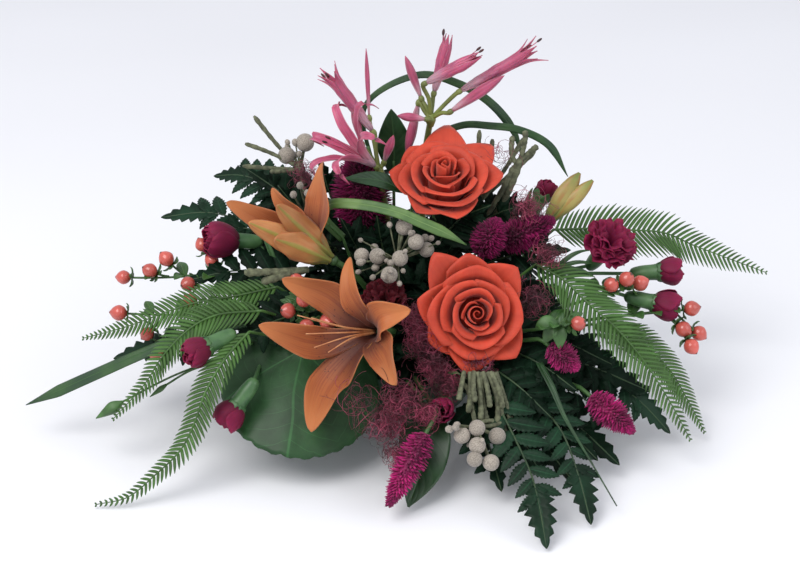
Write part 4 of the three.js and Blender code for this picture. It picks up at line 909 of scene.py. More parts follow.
def rose_petals(ring, centres, draw):
    """One ring of rose petals in the head's own frame.

    A petal is a piece of a surface turned from the ring's profile. Its lip stands out to a point and falls
    away from it to both sides, its edges roll back outwards, and one edge lies inside and the other outside
    its neighbours.
    """
    rows, columns = 20, 17
    profile = smooth_line(ring["profile"], rows)
    over = np.linspace(-1, 1, columns)[None, None]
    share = shares(rows)[None, :, None]
    centre = np.asarray(centres)[:, None, None] + draw.normal(0, 0.04, (len(centres), 1, 1))
    narrow = (0.5 + 0.5 * np.sin(np.pi / 2 * np.minimum(1, share / 0.5))
              - 0.3 * np.maximum(0, share - 0.72) / 0.28)
    angle = centre + over * ring["spread"] * narrow
    top = np.maximum(0, share - 0.4) / 0.6
    lean = draw.uniform(-0.2, 0.2, centre.shape)
    point = 1 - np.abs(over - lean) / (1 + np.abs(lean))
    roll, reach = ring["roll"], np.reshape(ring["point"], (-1, 1, 1))
    radius = (profile[None, :, None, 0] + 1.5 * over * share + roll * 0.45 * over**4 * share**2
              + reach * top**1.5 * point**1.05 + draw.uniform(-0.9, 0.9, centre.shape) * share
              + 0.5 * np.sin(4 * over + 7 * centre) * share
              + ring.get("crinkle", 0.0) * np.sin(13 * over + 9 * centre) * share**4)
    height = (profile[None, :, None, 1] - top**1.6 * (3.0 + roll) * np.abs(over - lean) ** 1.6
              - 0.16 * reach * top**4 * point + draw.uniform(-1.5, 1.5, centre.shape) * share)
    return polar(radius, angle, height)


def rose_roll():
    """The rolled heart of a rose: one petal wound into a spiral that widens outwards and opens at its top."""
    rows, columns = 14, 110
    share = shares(rows)[:, None]
    wound = shares(columns)[None]
    angle = 2 * np.pi * 1.7 * wound
    belly = 0.62 + 0.38 * np.sin(np.pi * (0.2 + 0.55 * share))
    radius = (1.6 + 5.6 * wound**1.2) * belly * (1 + 0.1 * share**4)
    height = 4 + share * (38.5 + 1.5 * np.sin(2.1 * angle) - 2.2 * (1 - wound))
    return polar(radius, angle, height)[None, :, ::-1]


def rose_skin(rose, draw, thickness):
    """All the petals of one rose, from the rolled heart to the outer ring."""
    skins = [slab(placed(rose_roll(), rose["base"], rose["axis"], rose["turn"]), thickness, 0.3)]
    for ring in ROSE_RINGS:
        centres = ring["turn"] + even_angles(ring["count"])
        if ring is ROSE_RINGS[-1]:
            centres = np.radians(rose["outer"]) - rose["turn"]
            ring = {**ring, "point": rose["points"]}
        grid = placed(rose_petals(ring, centres, draw), rose["base"], rose["axis"], rose["turn"])
        skins.append(slab(grid[:, :, ::-1], thickness, draw.random(len(centres))))
    core = [(3, 0), (12, 4), (14, 10), (9, 20), (2, 32)]
    skins.append(turned(smooth_line(core, 14), rose["base"], rose["axis"], tint=0.1))
    return merged(*skins)


def rose_calyx(rose):
    """The green cup under a rose, with five sepals that curl down from it."""
    cup = turned(smooth_line([(2.6, -15), (5.0, -9), (6.6, -5), (6.0, -0.7)], 14), rose["base"], rose["axis"])
    angle = even_angles(5) + rose["turn"]
    path = smooth_line([(5.5, -5), (11, -3.4), (15, -6.5), (17.5, -12)], 14)
    lines = polar(path[None, :, 0], angle[:, None], path[None, :, 1])
    widths = 6.5 * lance(shares(14), 0.3, 0.7)
    grid = placed(blades(lines, widths, STRAIGHT_UP, 5, cup=0.3), rose["base"], rose["axis"])
    return merged(cup, slab(grid, 0.7, np.linspace(0.2, 0.8, 5)))


def lily_lines(lily, rows):
    """The middle line of each tepal and the direction of its inner side.

    A line starts at the foot of the throat, passes its rim and a belly that may sway to a side, and ends at
    the tip. The tepals that are listed as backs turn their outside to the viewer.
    """
    base, axis = points_of(*lily["base"]), unit(lily["axis"])
    tips = points_of(*lily["tips"])
    aim = head_turn(axis)
    local = (tips - base) @ aim
    bearing = np.arctan2(local[:, 1], local[:, 0])
    order = np.argsort(bearing)
    sixth = np.pi / 3 * np.arange(6)
    offset = np.mean(bearing[order] - sixth)
    throat = LILY_THROAT
    lines, insides = [], []
    sways = np.array(lily["sways"])[order]
    backs = np.isin(order, lily["backs"])
    for tip, angle, swayed, back in zip(tips[order], offset + sixth, sways, backs):
        foot = polar(throat["foot"], angle, 1.0) @ aim.T + base
        rim = polar(throat["radius"], angle, float(throat["height"])) @ aim.T + base
        reach = tip - base
        out = reach - axis * (reach @ axis)
        belly = base + axis * lily["rise"] + 0.58 * out
        lines.append(smooth_line([foot, rim, belly + swayed * np.cross(axis, unit(out)), tip], rows))
        insides.append(0.3 * axis - TO_VIEWER if back else axis - 0.8 * unit(out))
    return np.array(lines), np.array(insides), order


def lily_skin(_, lily, draw, thickness):
    """A lily bloom: six broad arched tepals with a grooved midrib, and curved stamens."""
    rows = 46
    share = shares(rows)
    lines, insides, order = lily_lines(lily, rows)
    curl = np.maximum(0, share - 0.8)[None, :, None] ** 2 * 60
    lines = lines - curl * insides[:, None]
    swell = 0.16 + 0.84 * np.sin(np.pi / 2 * np.clip((share - 0.04) / 0.5, 0, 1)) ** 1.3
    taper = np.clip((1 - share) / 0.42, 0.0, 1.0) ** 0.55
    widths = np.array(lily["widths"], float)[order][:, None] * np.maximum(0.02, swell * taper)
    grid = blades(lines, widths, insides[:, None], 15, cup=0.34, groove=0.8, wave=(2.0, 2.2),
                  phase=draw.uniform(0, 6, 6))
    skins = [slab(grid, thickness, draw.random(6), 0, 1)]
    base, axis = points_of(*lily["base"]), unit(lily["axis"])
    for bend in points_of(*lily["stamens"]):
        middle = base + axis * 0.65 * STAMEN_LENGTH + 0.35 * bend
        thread = smooth_line([base + axis * 6 + 0.05 * bend, middle, base + axis * STAMEN_LENGTH + bend], 18)
        skins.append(rods(thread[None], np.linspace(0.9, 0.4, 18), 6, 0.5, 2))
    return merged(*skins)


def lily_fork_skin():
    """The stem that carries both blooms: it parts in two, and each neck ends in a knob under its bloom."""
    forks = [stem_skin("lily_stem", 0)]
    for name, neck in lily_necks().items():
        base, axis = points_of(*LILIES[name]["base"]), unit(LILIES[name]["axis"])
        line = smooth_line([LILY_FORK, LILY_FORK_BENDS[name], base - 20 * axis, neck], 24)
        forks.append(rods(line[None], np.linspace(2.2, 2.6, 24), 10))
        forks.append(turned(ball_profile(4.0, 0.9, 9), neck - 1.5 * axis, axis))
    return merged(*forks)


def lily_bud_skin():
    """Three spindle shaped buds, each with three lobes, on one short stem."""
    fork = points_of(*LILY_BUDS["fork"])
    skins = [stem_skin("lily_buds")]
    for k, tip in enumerate(points_of(*LILY_BUDS["tips"])):
        bend = fork + 0.3 * (tip - fork) + points_of(k * 2 - 2, k * 2 - 2, 2)
        skins.append(rods(smooth_line([fork, bend], 8)[None], 1.8, 8, paint=1))
        length = np.linalg.norm(tip - bend)
        wide = LILY_BUDS["radius"] * (1.0, 0.85, 0.7)[k]
        shape = smooth_line([(2.0, -1), (wide * 0.62, 0.16 * length), (wide, 0.5 * length),
                             (wide * 0.66, 0.84 * length), (1.2, length)], 26)
        skins.append(turned(shape, bend, tip - bend, sides=24, lobes=3, lobe_depth=0.1, tint=0.3 + 0.3 * k))
    return merged(*skins)


def nerine_floret(throat, tip, shape, turn, draw):
    """A floret of six narrow tepals that follow one of the shapes, with a few thin dark-tipped stamens."""
    throat, tip = points_of(throat, tip)
    length = np.linalg.norm(tip - throat)
    axis = (tip - throat) / length
    rows = 30
    share = shares(rows)
    path = smooth_line(points_of(*NERINE_SHAPES[shape]) * points_of(1, length), rows)
    loose = draw.uniform(0.75, 1.15, (6, 1))
    reach = path[None, :, 0] * (1 + (loose - 1) * share[None] ** 2)
    height = path[None, :, 1] * (1 - 0.07 * (np.arange(6) % 2)[:, None] * share[None])
    angle = np.pi * np.arange(6)[:, None] / 3
    lines = polar(reach, angle, height)
    wide = NERINE_TEPAL_WIDTH * (1.15 if shape == "wide" else 1.0)
    widths = wide * (0.4 + 0.6 * np.sin(np.pi * share**0.8) ** 0.7)
    widths = np.maximum(0.5, widths * np.clip((1 - share) / 0.24, 0, 1) ** 0.8)
    grid = blades(lines, widths, polar(-0.8, angle, 1.0), 7, cup=0.45, groove=0.25, wave=(0.4, 4.0),
                  phase=draw.uniform(0, 6, 6))
    tepals = slab(placed(grid, throat, axis, turn), 0.5, draw.random(6))
    count = {"closed": 2, "parted": 2, "wide": 4}[shape]
    angle = 2.2 + 0.8 * np.arange(count)
    out = 9.0 if shape == "wide" else 5.0
    starts = polar(0.8, angle, 2.0)
    ends = polar(out, angle, length * draw.uniform(0.9, 1.08, count))
    threads = placed(bowed_lines(starts, ends, polar(-1.5, angle, 0.0), 14), throat, axis, turn)
    tips, before = threads[:2, -1], threads[:2, -2]
    anthers = turned(ball_profile(1.0, 2.6, 7), tips, tips - before, sides=8, paint=2)
    return merged(tepals, rods(threads, 0.35, 4, 0.7), anthers)


def nerine_skin(name, nerine, draw):
    """A nerine head on its stalk: a hub with pedicels, each with an ovary below its floret or bud."""
    hub = points_of(*nerine["hub"])
    skins = [turned(smooth_line([(2.4, -6), (4.2, 0), (2.4, 5)], 9), hub, STRAIGHT_UP, sides=10, paint=1)]
    throats, tips = points_of(*[head[:2] for head in nerine["florets"] + nerine["buds"]]).transpose(1, 0, 2)
    way = unit(tips - throats)
    for throat, aim in zip(throats, way):
        middle = hub + 0.5 * (throat - hub) + points_of(0, 0, 1.5)
        line = smooth_line([hub, middle, throat - 4 * aim, throat], 14)
        skins.append(rods(line[None], np.linspace(1.6, 1.8, 14), 8, 0.4, 1))
    skins.append(turned(ball_profile(2.4, 1.4, 9), throats - 2.4 * way, way, sides=10, paint=1))
    for k, (throat, tip, shape) in enumerate(nerine["florets"]):
        skins.append(nerine_floret(throat, tip, shape, 0.4 * k, draw))
    for throat, tip, wide in nerine["buds"]:
        way = np.subtract(tip, throat)
        length = np.linalg.norm(way)
        bud = smooth_line([(0.4 * wide, 0), (0.75 * wide, 0.22 * length), (wide, 0.6 * length),
                           (0.55 * wide, 0.87 * length), (0.2, length)], 18)
        skins.append(turned(bud, throat, way, sides=18, lobes=6, lobe_depth=0.09, tint=0.25))
    return merged(*skins, stem_skin(name))


def fan_petals(paths, fan_widths, ripple, teeth, draw, columns=13, thickness=0.6):
    """Fan shaped petals with a toothed lip, in the head's own frame.

    Each petal follows its path, widens to its lip, ripples more towards it, and at the lip every second
    column reaches further along the path than its neighbours.
    """
    count, rows = paths.shape[:2]
    share = shares(rows)
    outward = paths[:, -1] * points_of(1, 1, 0)
    facing = STRAIGHT_UP - 0.9 * unit(outward)
    widths = np.asarray(fan_widths)[:, None] * (0.22 + 0.78 * np.sin(np.pi / 2 * share) ** 1.5)
    grid = blades(paths, widths, facing[:, None], columns, cup=0.3, ripple=(ripple, 2.4),
                  phase=draw.uniform(0, 6, count))
    forward = unit(np.gradient(paths, axis=1))[:, :, None]
    over = np.linspace(-1, 1, columns)
    tooth = teeth * np.where(np.arange(columns) % 2, 1.0, -1.0) - 3.0 * np.abs(over) ** 2.5
    grid = grid + forward * (share[None, :, None, None] ** 5) * tooth[None, None, :, None]
    return slab(grid, thickness, draw.random(count))


def carnation_calyx(base, axis):
    """The long green cup of a carnation, with bracts at its foot and five teeth round its mouth."""
    flank = smooth_line([(1.6, -25), (4.2, -23), (5.9, -16), (6.3, -6), (6.8, 0.5), (5.4, 1.4)], 20)
    cup = turned(flank, base, axis, paint=1)
    angle = even_angles(5)
    lines = bowed_lines(polar(6.2, angle, -3.0), polar(7.6, angle, 5.2), polar(0.5, angle, 0.0), 8)
    outward = polar(1.0, angle, 0.0)
    grid = blades(lines, 7.6 * lance(shares(8), 0.2, 0.8), outward[:, None], 5)
    teeth = slab(placed(grid, base, axis), 0.6, 0.6, 1)
    return merged(cup, teeth)


def cup_petals(radius, draw):
    """The petals of a carnation bud: rings of rounded petals like a rose's, with a crinkled lip."""
    skins = []
    for ring in CUP_RINGS:
        shaped = {**ring, "profile": points_of(*ring["profile"]) * radius, "spread": 1.25, "roll": 0.8,
                  "point": 0.0, "crinkle": 0.55}
        centres = ring["turn"] + even_angles(ring["count"])
        skins.append(slab(rose_petals(shaped, centres, draw)[:, :, ::-1], 0.6, draw.random(ring["count"])))
    return merged(*skins)


def carnation_head(base, axis, radius, is_open, draw):
    """A carnation: a cup of rounded petals or, if open, a ball of fans at steps of the golden angle."""
    base, axis = points_of(*base), unit(axis)
    if not is_open:
        petals = cup_petals(radius, draw)
    else:
        count, rows = 22, 12
        share = np.sqrt((np.arange(count) + 0.5) / count)
        angle = GOLDEN_ANGLE * np.arange(count) + draw.uniform(-0.2, 0.2, count)
        reach = radius * (0.12 + 0.9 * share) * draw.uniform(0.88, 1.05, count)
        top = radius * 0.95 * (1.12 - 0.6 * share**2) * draw.uniform(0.86, 1.1, count)
        along = shares(rows)[None]
        out = 1.5 + (reach[:, None] - 1.5) * along**1.7
        paths = polar(out, angle[:, None], top[:, None] * np.sin(np.pi / 2 * along**0.95))
        petals = fan_petals(paths, 1.05 * radius + 6 + 3 * share, 2.8, 0.6, draw)
    petals = petals._replace(points=placed(petals.points, base, axis))
    return merged(petals, carnation_calyx(base, axis))


def carnation_skin(name, spray, draw):
    """A carnation spray: its heads, the fork to each, and a pair of slim leaves at the fork."""
    fork = points_of(*spray["fork"])
    skins = [stem_skin(name)]
    for base, axis, radius, is_open in spray["heads"]:
        back = points_of(*base) - 21 * unit(axis)
        line = smooth_line([fork, back + 0.3 * (fork - back), back], 14)
        skins += [rods(line[None], 1.5, 8, paint=1), carnation_head(base, axis, radius, is_open, draw)]
        leaf_way = unit(back - fork + points_of(0, 0, 14))
        leaf = bowed_lines([fork], [fork + 34 * leaf_way], [(0, 0, 5)], 14)
        skins.append(slab(blades(leaf, 4.6 * lance(shares(14), 0.3, 0.6), (0, -0.4, 1), 5, cup=0.5), 0.7,
                          0.4, 1))
    return merged(*skins)


def plume_radius(share, radius):
    """A plume's radius along its axis: a power of a sine, drawn in towards its blunt tip."""
    return radius * np.sin(np.pi * (0.16 + 0.8 * share)) ** 0.7 * (1 - 0.35 * share)


def plume_skin(name, plume, draw, bristles):
    """A cockscomb plume: bristles at steps of the golden angle lean forward out of a tapering core."""
    radius = plume[2]
    count = int(bristles * radius)
    base, tip = points_of(*plume[:2])
    length = np.linalg.norm(tip - base)
    axis = (tip - base) / length
    share = (np.arange(count) + 0.5) / count
    angle = GOLDEN_ANGLE * np.arange(count)
    reach = plume_radius(share, radius)
    foot = polar(0.5 * reach, angle, share * length)
    long = (0.62 * reach + 1.4) * draw.uniform(0.8, 1.15, count)
    way = polar(1.0, angle + draw.normal(0, 0.16, count), 0.35 + 1.5 * share**4)
    way = unit(way + draw.normal(0, 0.1, (count, 3)))
    lines = bowed_lines(foot, foot + long[:, None] * way, 0.09 * long[:, None] * STRAIGHT_UP, 5)
    spikes = rods(placed(lines, base, axis), np.array([0.5, 0.85, 0.8, 0.55, 0.15]), 4, draw.random(count))
    rows = shares(14)
    core_radius = 0.62 * plume_radius(rows, radius)
    core = turned(np.stack([core_radius, rows * length], axis=-1), base, axis, tint=0.1)
    return merged(spikes, core, stem_skin(name))


def brunia_skin(name, brunia, draw):
    """A brunia branch: a woody stem, felted balls on short stalks, smaller balls between them, and twigs."""
    crown = brunia_crown(brunia)
    fork = points_of(*brunia["fork"])
    knob = turned(ball_profile(4.0, 1.6, 9), crown, crown - fork, sides=12, paint=1)
    skins = [stem_skin(name), knob]
    if brunia["balls"]:
        centres = points_of(*brunia["balls"])
        count = len(centres)
        skins.append(rods(bowed_lines([crown] * count, centres, np.zeros((count, 3)), 8), 1.3, 8, paint=1))
        ball = ball_profile(brunia["thick"], 1.0, 15)
        sizes = draw.uniform(0.92, 1.06, count)
        skins.append(turned(ball, centres, centres - crown, sizes, 22, tint=draw.random(count)))
        small = 24 if name == "brunia_centre" else 5
        near = centres[draw.integers(0, count, small)]
        way = unit(draw.normal(size=(small, 3)) + points_of(0, -0.3, 0.3))
        spots = near + way * draw.uniform(8, 13, (small, 1))
        sizes = draw.uniform(0.6, 1.25, small)
        ball = ball_profile(2.4, 1.15, 9)
        skins.append(turned(ball, spots, spots - crown, sizes, 12, tint=draw.random(small)))
        skins.append(rods(bowed_lines([crown] * small, spots, np.zeros((small, 3)), 8), 0.6, 6, paint=1))
    for twig in brunia["twigs"]:
        skins.append(twig_skin(crown, points_of(*twig), draw))
    return merged(*skins)


def twig_skin(start, end, draw, thick=1.0):
    """A felted twig: it bows a little, its skin is knobbly, and its end swells to a blunt finger."""
    rows = 26
    share = shares(rows)
    bow = draw.normal(0, 2.0, 3)
    line = bowed_lines([start], [end], [bow], rows)
    radius = thick * (1.6 + 0.25 * np.sin(share * 46 + draw.uniform(0, 6)) * share + 0.5 * share**3)
    radius[-2:] *= (0.85, 0.45)
    return rods(line, radius, 10, draw.random(), 1)


def berry_sprig(name, spray, draw):
    """A hypericum spray: berries on stalks that leave the branch, sepals under each, and pairs of leaves."""
    fork = points_of(*spray["fork"])
    berries = points_of(*spray["berries"])
    reach = np.linalg.norm(berries[0] - fork)
    way = (berries[0] - fork) / reach
    share = np.clip((berries - fork) @ way / reach, 0, 1) - BERRY_STALK / reach
    share[0] = 0.5
    feet = fork + np.maximum(0.05, share)[:, None] * reach * way
    stalks = bowed_lines(feet, berries, np.tile((0, 0, -1.0), (len(berries), 1)), 12)
    axes = unit(stalks[:, -1] - stalks[:, -3])
    berry = smooth_line([(1.0, -BERRY * 1.02), (4.6, -3.4), (BERRY, 0.6), (4.2, 4.4), (1.5, 6.6), (0.3, 7.5)],
                        18)
    sizes = draw.uniform(0.92, 1.08, len(berries))
    skins = [stem_skin(name), rods(stalks, 0.95, 6, paint=1),
             turned(berry, berries, axes, sizes, 18, tint=draw.random(len(berries)))]
    sepal_lines = []
    for centre, axis in zip(berries, axes):
        angle = even_angles(5) + draw.uniform(0, 1)
        local = bowed_lines(polar(1.0, angle, -6.2), polar(8.6, angle, -5.0), polar(1.0, angle, -1.6), 6)
        sepal_lines.append(placed(local, centre, axis))
    lines, facing = np.concatenate(sepal_lines), np.repeat(axes, 5, axis=0)
    sepals = blades(lines, 4.6 * lance(shares(6), 0.5, 0.5), facing[:, None], 5, cup=0.3)
    skins.append(slab(sepals, 0.5, draw.random(len(lines)), 2))
    out = unit(np.cross(way, STRAIGHT_UP)) * LEAF_PAIR_REACH
    leaf_lines = []
    for joint_share, size in ((0.32, 1.0), (0.55, 0.8), (0.78, 0.65)):
        joint = fork + joint_share * reach * way
        for hand in (-1, 1):
            end = joint + hand * size * out + size * (8 * way + points_of(0, 0, 6))
            leaf_lines.append(smooth_line([joint, joint + 0.5 * (end - joint) + points_of(0, 0, 2), end], 16))
    lines = np.array(leaf_lines)
    size = np.linalg.norm(lines[:, -1] - lines[:, 0], axis=-1)[:, None]
    widths = 0.5 * size * lance(shares(16), 0.45, 0.25)
    leaves = blades(lines, widths, (0, -0.3, 1), 7, cup=0.2, groove=0.3)
    skins.append(slab(leaves, 0.6, draw.random(len(lines)), 2))
    return merged(*skins)


# Foliage

def umbrella_skin(name, fern, draw, thickness):
    """An umbrella fern: a rib with close pairs of narrow pointed leaflets that slant forward and droop.

    A leaflet's length grows over the first quarter of the rib and then falls off with a power of the share.
    """
    route, facing, leaflets, longest = fern
    pairs = int(2.5 * leaflets)
    rib = smooth_line(route, 3 * pairs)
    along = unit(np.gradient(rib, axis=0))
    side = unit(np.cross(along, facing))
    up = np.cross(side, along)
    share = (np.arange(pairs) + 0.7) / pairs
    spot = np.clip((share * len(rib)).astype(int), 0, len(rib) - 1)
    length = 1.08 * longest * np.minimum(1, 0.5 + 2.6 * share) * (1 - share**1.8) + 1.2
    lines = []
    for hand in (-1, 1):
        reach = (length * draw.uniform(0.93, 1.05, pairs))[:, None]
        start = rib[spot] + 0.4 * hand * side[spot]
        end = start + reach * (hand * side[spot] + 0.85 * along[spot] - 0.12 * up[spot])
        lines.append(bowed_lines(start, end, reach * (0.05 * up[spot] + 0.06 * hand * side[spot]), 7))
    lines = np.concatenate(lines)
    widths = np.tile([2.4, 2.8, 2.8, 2.6, 2.1, 1.3, 0.3], (len(lines), 1)) * np.tile(
        0.35 + 0.65 * (length / length.max()) ** 0.7, 2)[:, None]
    leaflet = slab(blades(lines, widths, facing, 3, cup=-0.25), thickness, draw.random(len(lines)))
    stalk = rods(rib[None], np.linspace(1.1, 0.35, len(rib)), 6, paint=1)
    return merged(leaflet, stalk, stem_skin(name))


def leather_frond(route, facing, pairs, longest, thickness, draw, rows=25, columns=5, teeth=LEATHER_TEETH):
    """A leatherleaf fern: broad toothed side leaflets in turn, and a lobed blade at the end of the frond.

    A leaflet's half width is a lance shape less the cuts: within every tooth the width grows steadily and
    then falls back to the cut.
    """
    rib = smooth_line(route, 12 * pairs)
    along = unit(np.gradient(rib, axis=0))
    side = unit(np.cross(along, facing))
    up = np.cross(side, along)
    lines = []
    for hand in (-1, 1):
        share = np.linspace(0.1, 0.66, pairs) + 0.03 * hand
        spot = (share * (len(rib) - 1)).astype(int)
        reach = ((longest * (1 - 0.72 * share) + 5) * draw.uniform(0.9, 1.08, pairs))[:, None]
        way = unit(0.62 * along[spot] + hand * side[spot])
        end = rib[spot] + reach * (way - 0.14 * up[spot])
        lines.append(bowed_lines(rib[spot], end, reach * (0.06 * up[spot] + 0.05 * along[spot]), rows))
    last = smooth_line(rib[int(0.62 * len(rib)):], rows)
    lines = np.concatenate([*lines, last[None]])
    reach = np.linalg.norm(lines[:, -1] - lines[:, 0], axis=-1)[:, None]
    share = shares(rows)[None]
    teeth, depth = np.full((len(lines), 1), teeth), np.full((len(lines), 1), 0.26)
    teeth[-1], depth[-1] = min(6.0, teeth[0, 0]), 0.42
    within = (share * teeth) % 1.0
    cut = 1 - depth * np.where(within < 0.75, 1 - within / 0.75, (within - 0.75) / 0.25)
    widths = LEATHER_BREADTH * reach * lance(share, 0.38, 0.35, 0.04) * cut
    grid = blades(lines, widths, facing, columns, cup=0.12, groove=0.3)
    stalk = rib[np.linspace(0, len(rib) - 1, 3 * pairs + 1).astype(int)]
    stalk = rods(stalk[None], np.linspace(1.1, 0.4, len(stalk)), 6, paint=1)
    return merged(slab(grid, thickness, draw.random(len(lines))), stalk)


def leather_skin(name, fern, draw, thickness):
    """A leatherleaf frond on its stem."""
    return merged(leather_frond(*fern, thickness, draw), stem_skin(name))


def in_free_sector(way):
    """Whether a direction points into the sector that stays free for the round leaf."""
    first, last, rise = FILLING["free"]
    bearing = np.degrees(np.arctan2(way[..., 1], way[..., 0]))
    return (bearing > first) & (bearing < last) & (way[..., 2] < rise)


def filling_fronds(thickness, draw):
    """Short fronds all round the foam, dark with painted shade, at steps of the golden angle from just above
    the rim to the top.

    The low ones arch out over the rim of the bowl and the high ones stand up between the stems.
    """
    skins = []
    for k in range(FILLING["count"]):
        share = (k + 0.5) / FILLING["count"]
        azimuth = GOLDEN_ANGLE * k + draw.uniform(-0.1, 0.1)
        elevation = math.radians(8 + 62 * share)
        way = polar(math.cos(elevation), azimuth, math.sin(elevation))
        if in_free_sector(way):
            continue
        start = HEART + 0.85 * DOME * way
        end = HEART + points_of(*FILLING["reach"]) * way * draw.uniform(0.85, 1.1)
        end[2] -= FILLING["droop"] * (1 - way[2]) ** 2
        middle = (start + end) / 2 + points_of(0, 0, 9 * (1 - way[2]) + 3)
        facing = unit(way + points_of(0, 0, 0.9) + points_of(0, -0.7, 0) * way[2])
        skins.append(leather_frond([start, middle, end], facing, 4, 26, thickness, draw, 13, 3, 4.0))
    for route in FILLING_ROUTES:
        skins.append(leather_frond(route, (0.1, -0.6, 0.8), 5, 30, thickness, draw, 13, 3, 4.0))
    return merged(*skins)


def filling_leaves(thickness, draw):
    """Broad leaves between the fronds, dark with painted shade, at steps of the golden angle, that arch out
    of the foam.
    """
    count = FILLING["leaves"]
    share = (np.arange(count) + 0.5) / count
    azimuth = GOLDEN_ANGLE * np.arange(count) + 1.0
    elevation = np.radians(6 + 66 * share)
    way = polar(np.cos(elevation), azimuth, np.sin(elevation))
    way = way[~in_free_sector(way)]
    start = HEART + 0.8 * DOME * way
    reach = draw.uniform(0.85, 1.08, (len(way), 1))
    end = HEART + points_of(*FILLING["leaf_reach"]) * reach * unit(way + draw.normal(0, 0.22, way.shape))
    end[:, 2] = np.maximum(12, end[:, 2] - 26 * (1 - way[:, 2]) ** 2)
    lines = bowed_lines(start, end, 9 * unit(way + STRAIGHT_UP), 10)
    size = np.linalg.norm(end - start, axis=-1)[:, None]
    widths = (0.3 * size + 9) * lance(shares(10), 0.5, 0.25)
    facing = unit(way + 0.9 * STRAIGHT_UP + draw.normal(0, 0.25, way.shape))
    leaves = blades(lines, widths, facing[:, None], 5, cup=0.25, groove=0.5)
    return slab(leaves, thickness, draw.random(len(way)))


def grass_skin(name, route, width, facing):
    """A grass blade: an even width that runs out to a point, folded a little along its middle."""
    rows = 60
    share = shares(rows)
    start = 0.3 if name == "grass_loop_high" else 0.8
    swell = start + (1 - start) * np.sin(np.pi / 2 * share)
    widths = width * np.minimum(1, 6.5 * (1 - share) + 0.05) * swell
    grid = blades(smooth_line(route, rows)[None], widths, facing, 9, cup=-0.22, groove=0.25)
    return merged(slab(grid, 0.6), stem_skin(name))


def salal_skin(name, route, width, facing):
    """A salal leaf: oval and pointed, folded along its midrib, with a slightly waved edge."""
    rows = 40
    grid = blades(smooth_line(route, rows)[None], width * lance(shares(rows)), facing, 21, cup=0.2,
                  groove=0.8, wave=(1.2, 3.0))
    return merged(slab(grid, 0.7), stem_skin(name))


def galax_skin():
    """The round leaf, from its heart out to a circle whose middle lies away from the notch.

    The radius is the distance from the heart to that circle, worked out from the cosine rule, and swells in
    small teeth. The height is a saddle less a dome that deepens to the edge, and the ribs sink a little.
    """
    rows, columns = 30, 150
    share = np.linspace(0.02, 1, rows)[:, None]
    notch = GALAX["notch"]
    around = shares(columns)[None]
    angle = notch / 2 + (2 * np.pi - notch) * around
    offset = GALAX["offset"] * GALAX["radius"]
    edge = GALAX["radius"] * (1 - 0.08 * np.cos(angle))
    reach = np.sqrt(edge**2 - (offset * np.sin(angle)) ** 2) - offset * np.cos(angle)
    tooth = 1 + 0.02 * np.abs(np.sin(22 * angle)) * share**8
    ribs = 0.35 * np.exp(-((around * GALAX["ribs"]) % 1 - 0.5) ** 2 / 0.01) * share
    local = polar(reach * share * tooth, angle, 0.0) + points_of(offset - 0.3 * GALAX["radius"], 0, 0)
    far = np.linalg.norm(local, axis=-1) / GALAX["radius"]
    bearing = np.arctan2(local[..., 1], local[..., 0])
    local[..., 2] = (5 * np.cos(2 * bearing) * far - 9 * far**2 - ribs
                     + 1.5 * np.sin(5 * angle + 1) * share**3 + 0.6 * np.sin(17 * angle) * share**6)
    facing = unit(GALAX["facing"])
    grid = placed(local, GALAX["heart"], facing, math.pi / 2)[None]
    return merged(slab(grid, 0.8), stem_skin("galax_leaf"))


def fibre_tuft(centre, radius, count, thickness, draw):
    """Loose wiry fibre: each strand is a sum of two slow loops, one inside the other, in random planes."""
    rows = 11
    share = shares(rows)[None, :, None]
    middle = draw.normal(0, 0.34, (count, 1, 3)) * radius
    first, second = (unit(draw.normal(size=(count, 1, 3))) for _ in range(2))
    third = unit(np.cross(first, second))
    fast = 2 * np.pi * draw.uniform(0.5, 1.2, (count, 1, 1)) * share + draw.uniform(0, 6, (count, 1, 1))
    slow = 2 * np.pi * draw.uniform(0.2, 0.6, (count, 1, 1)) * share + draw.uniform(0, 6, (count, 1, 1))
    loop = radius * draw.uniform(0.18, 0.5, (count, 1, 1))
    drift = radius * draw.uniform(0.15, 0.5, (count, 1, 1))
    lines = (points_of(*centre) + middle + loop * (np.cos(fast) * first + np.sin(fast) * third)
             + drift * np.sin(slow) * second)
    return rods(lines, thickness / 2, 4, draw.random(count))


# Small fillings

def dark_leaf_skin():
    """The dark leaf beside the upper rose."""
    route, width, facing = DARK_LEAF
    line = smooth_line(route, 26)[None]
    return slab(blades(line, width * lance(shares(26)), facing, 11, cup=0.2, groove=0.5), 0.7)


def grey_twigs_skin(draw):
    """Felted twigs at the left, behind the upper rose and under the lower rose, and three small balls."""
    start, ends = GREY_TWIGS
    twigs = [twig_skin(start, end, draw, 1.6) for end in ends]
    twigs += [twig_skin(foot, tip, draw, thick) for foot, tip, thick in BACK_TWIGS]
    start = points_of(*GREY_FINGERS[0])
    for end in points_of(*GREY_FINGERS[1]):
        twigs.append(twig_skin(start + points_of(0.6, 0, 0) * (end - start), end, draw, 1.15))
    balls = points_of(*SMALL_BALLS)
    count = len(balls)
    twigs.append(turned(ball_profile(2.8, 1.1, 9), balls, STRAIGHT_UP, sides=12, tint=draw.random(count)))
    stalks = bowed_lines([BRUNIAS["brunia_back_left"]["fork"]] * count, balls, [(0, -6, 0)] * count, 12)
    return merged(*twigs, rods(stalks, 0.8, 6, paint=1))


def thin_blade_skin():
    """A thin blade at the front right: its width falls off with a power of the share along it."""
    narrow = 5 * np.clip(1.15 - shares(40), 0.12, 1) ** 2.5 + 0.7
    return slab(blades(smooth_line(THIN_BLADE, 40)[None], narrow, (0.3, -0.6, 0.7), 5, cup=0.3), 0.6)


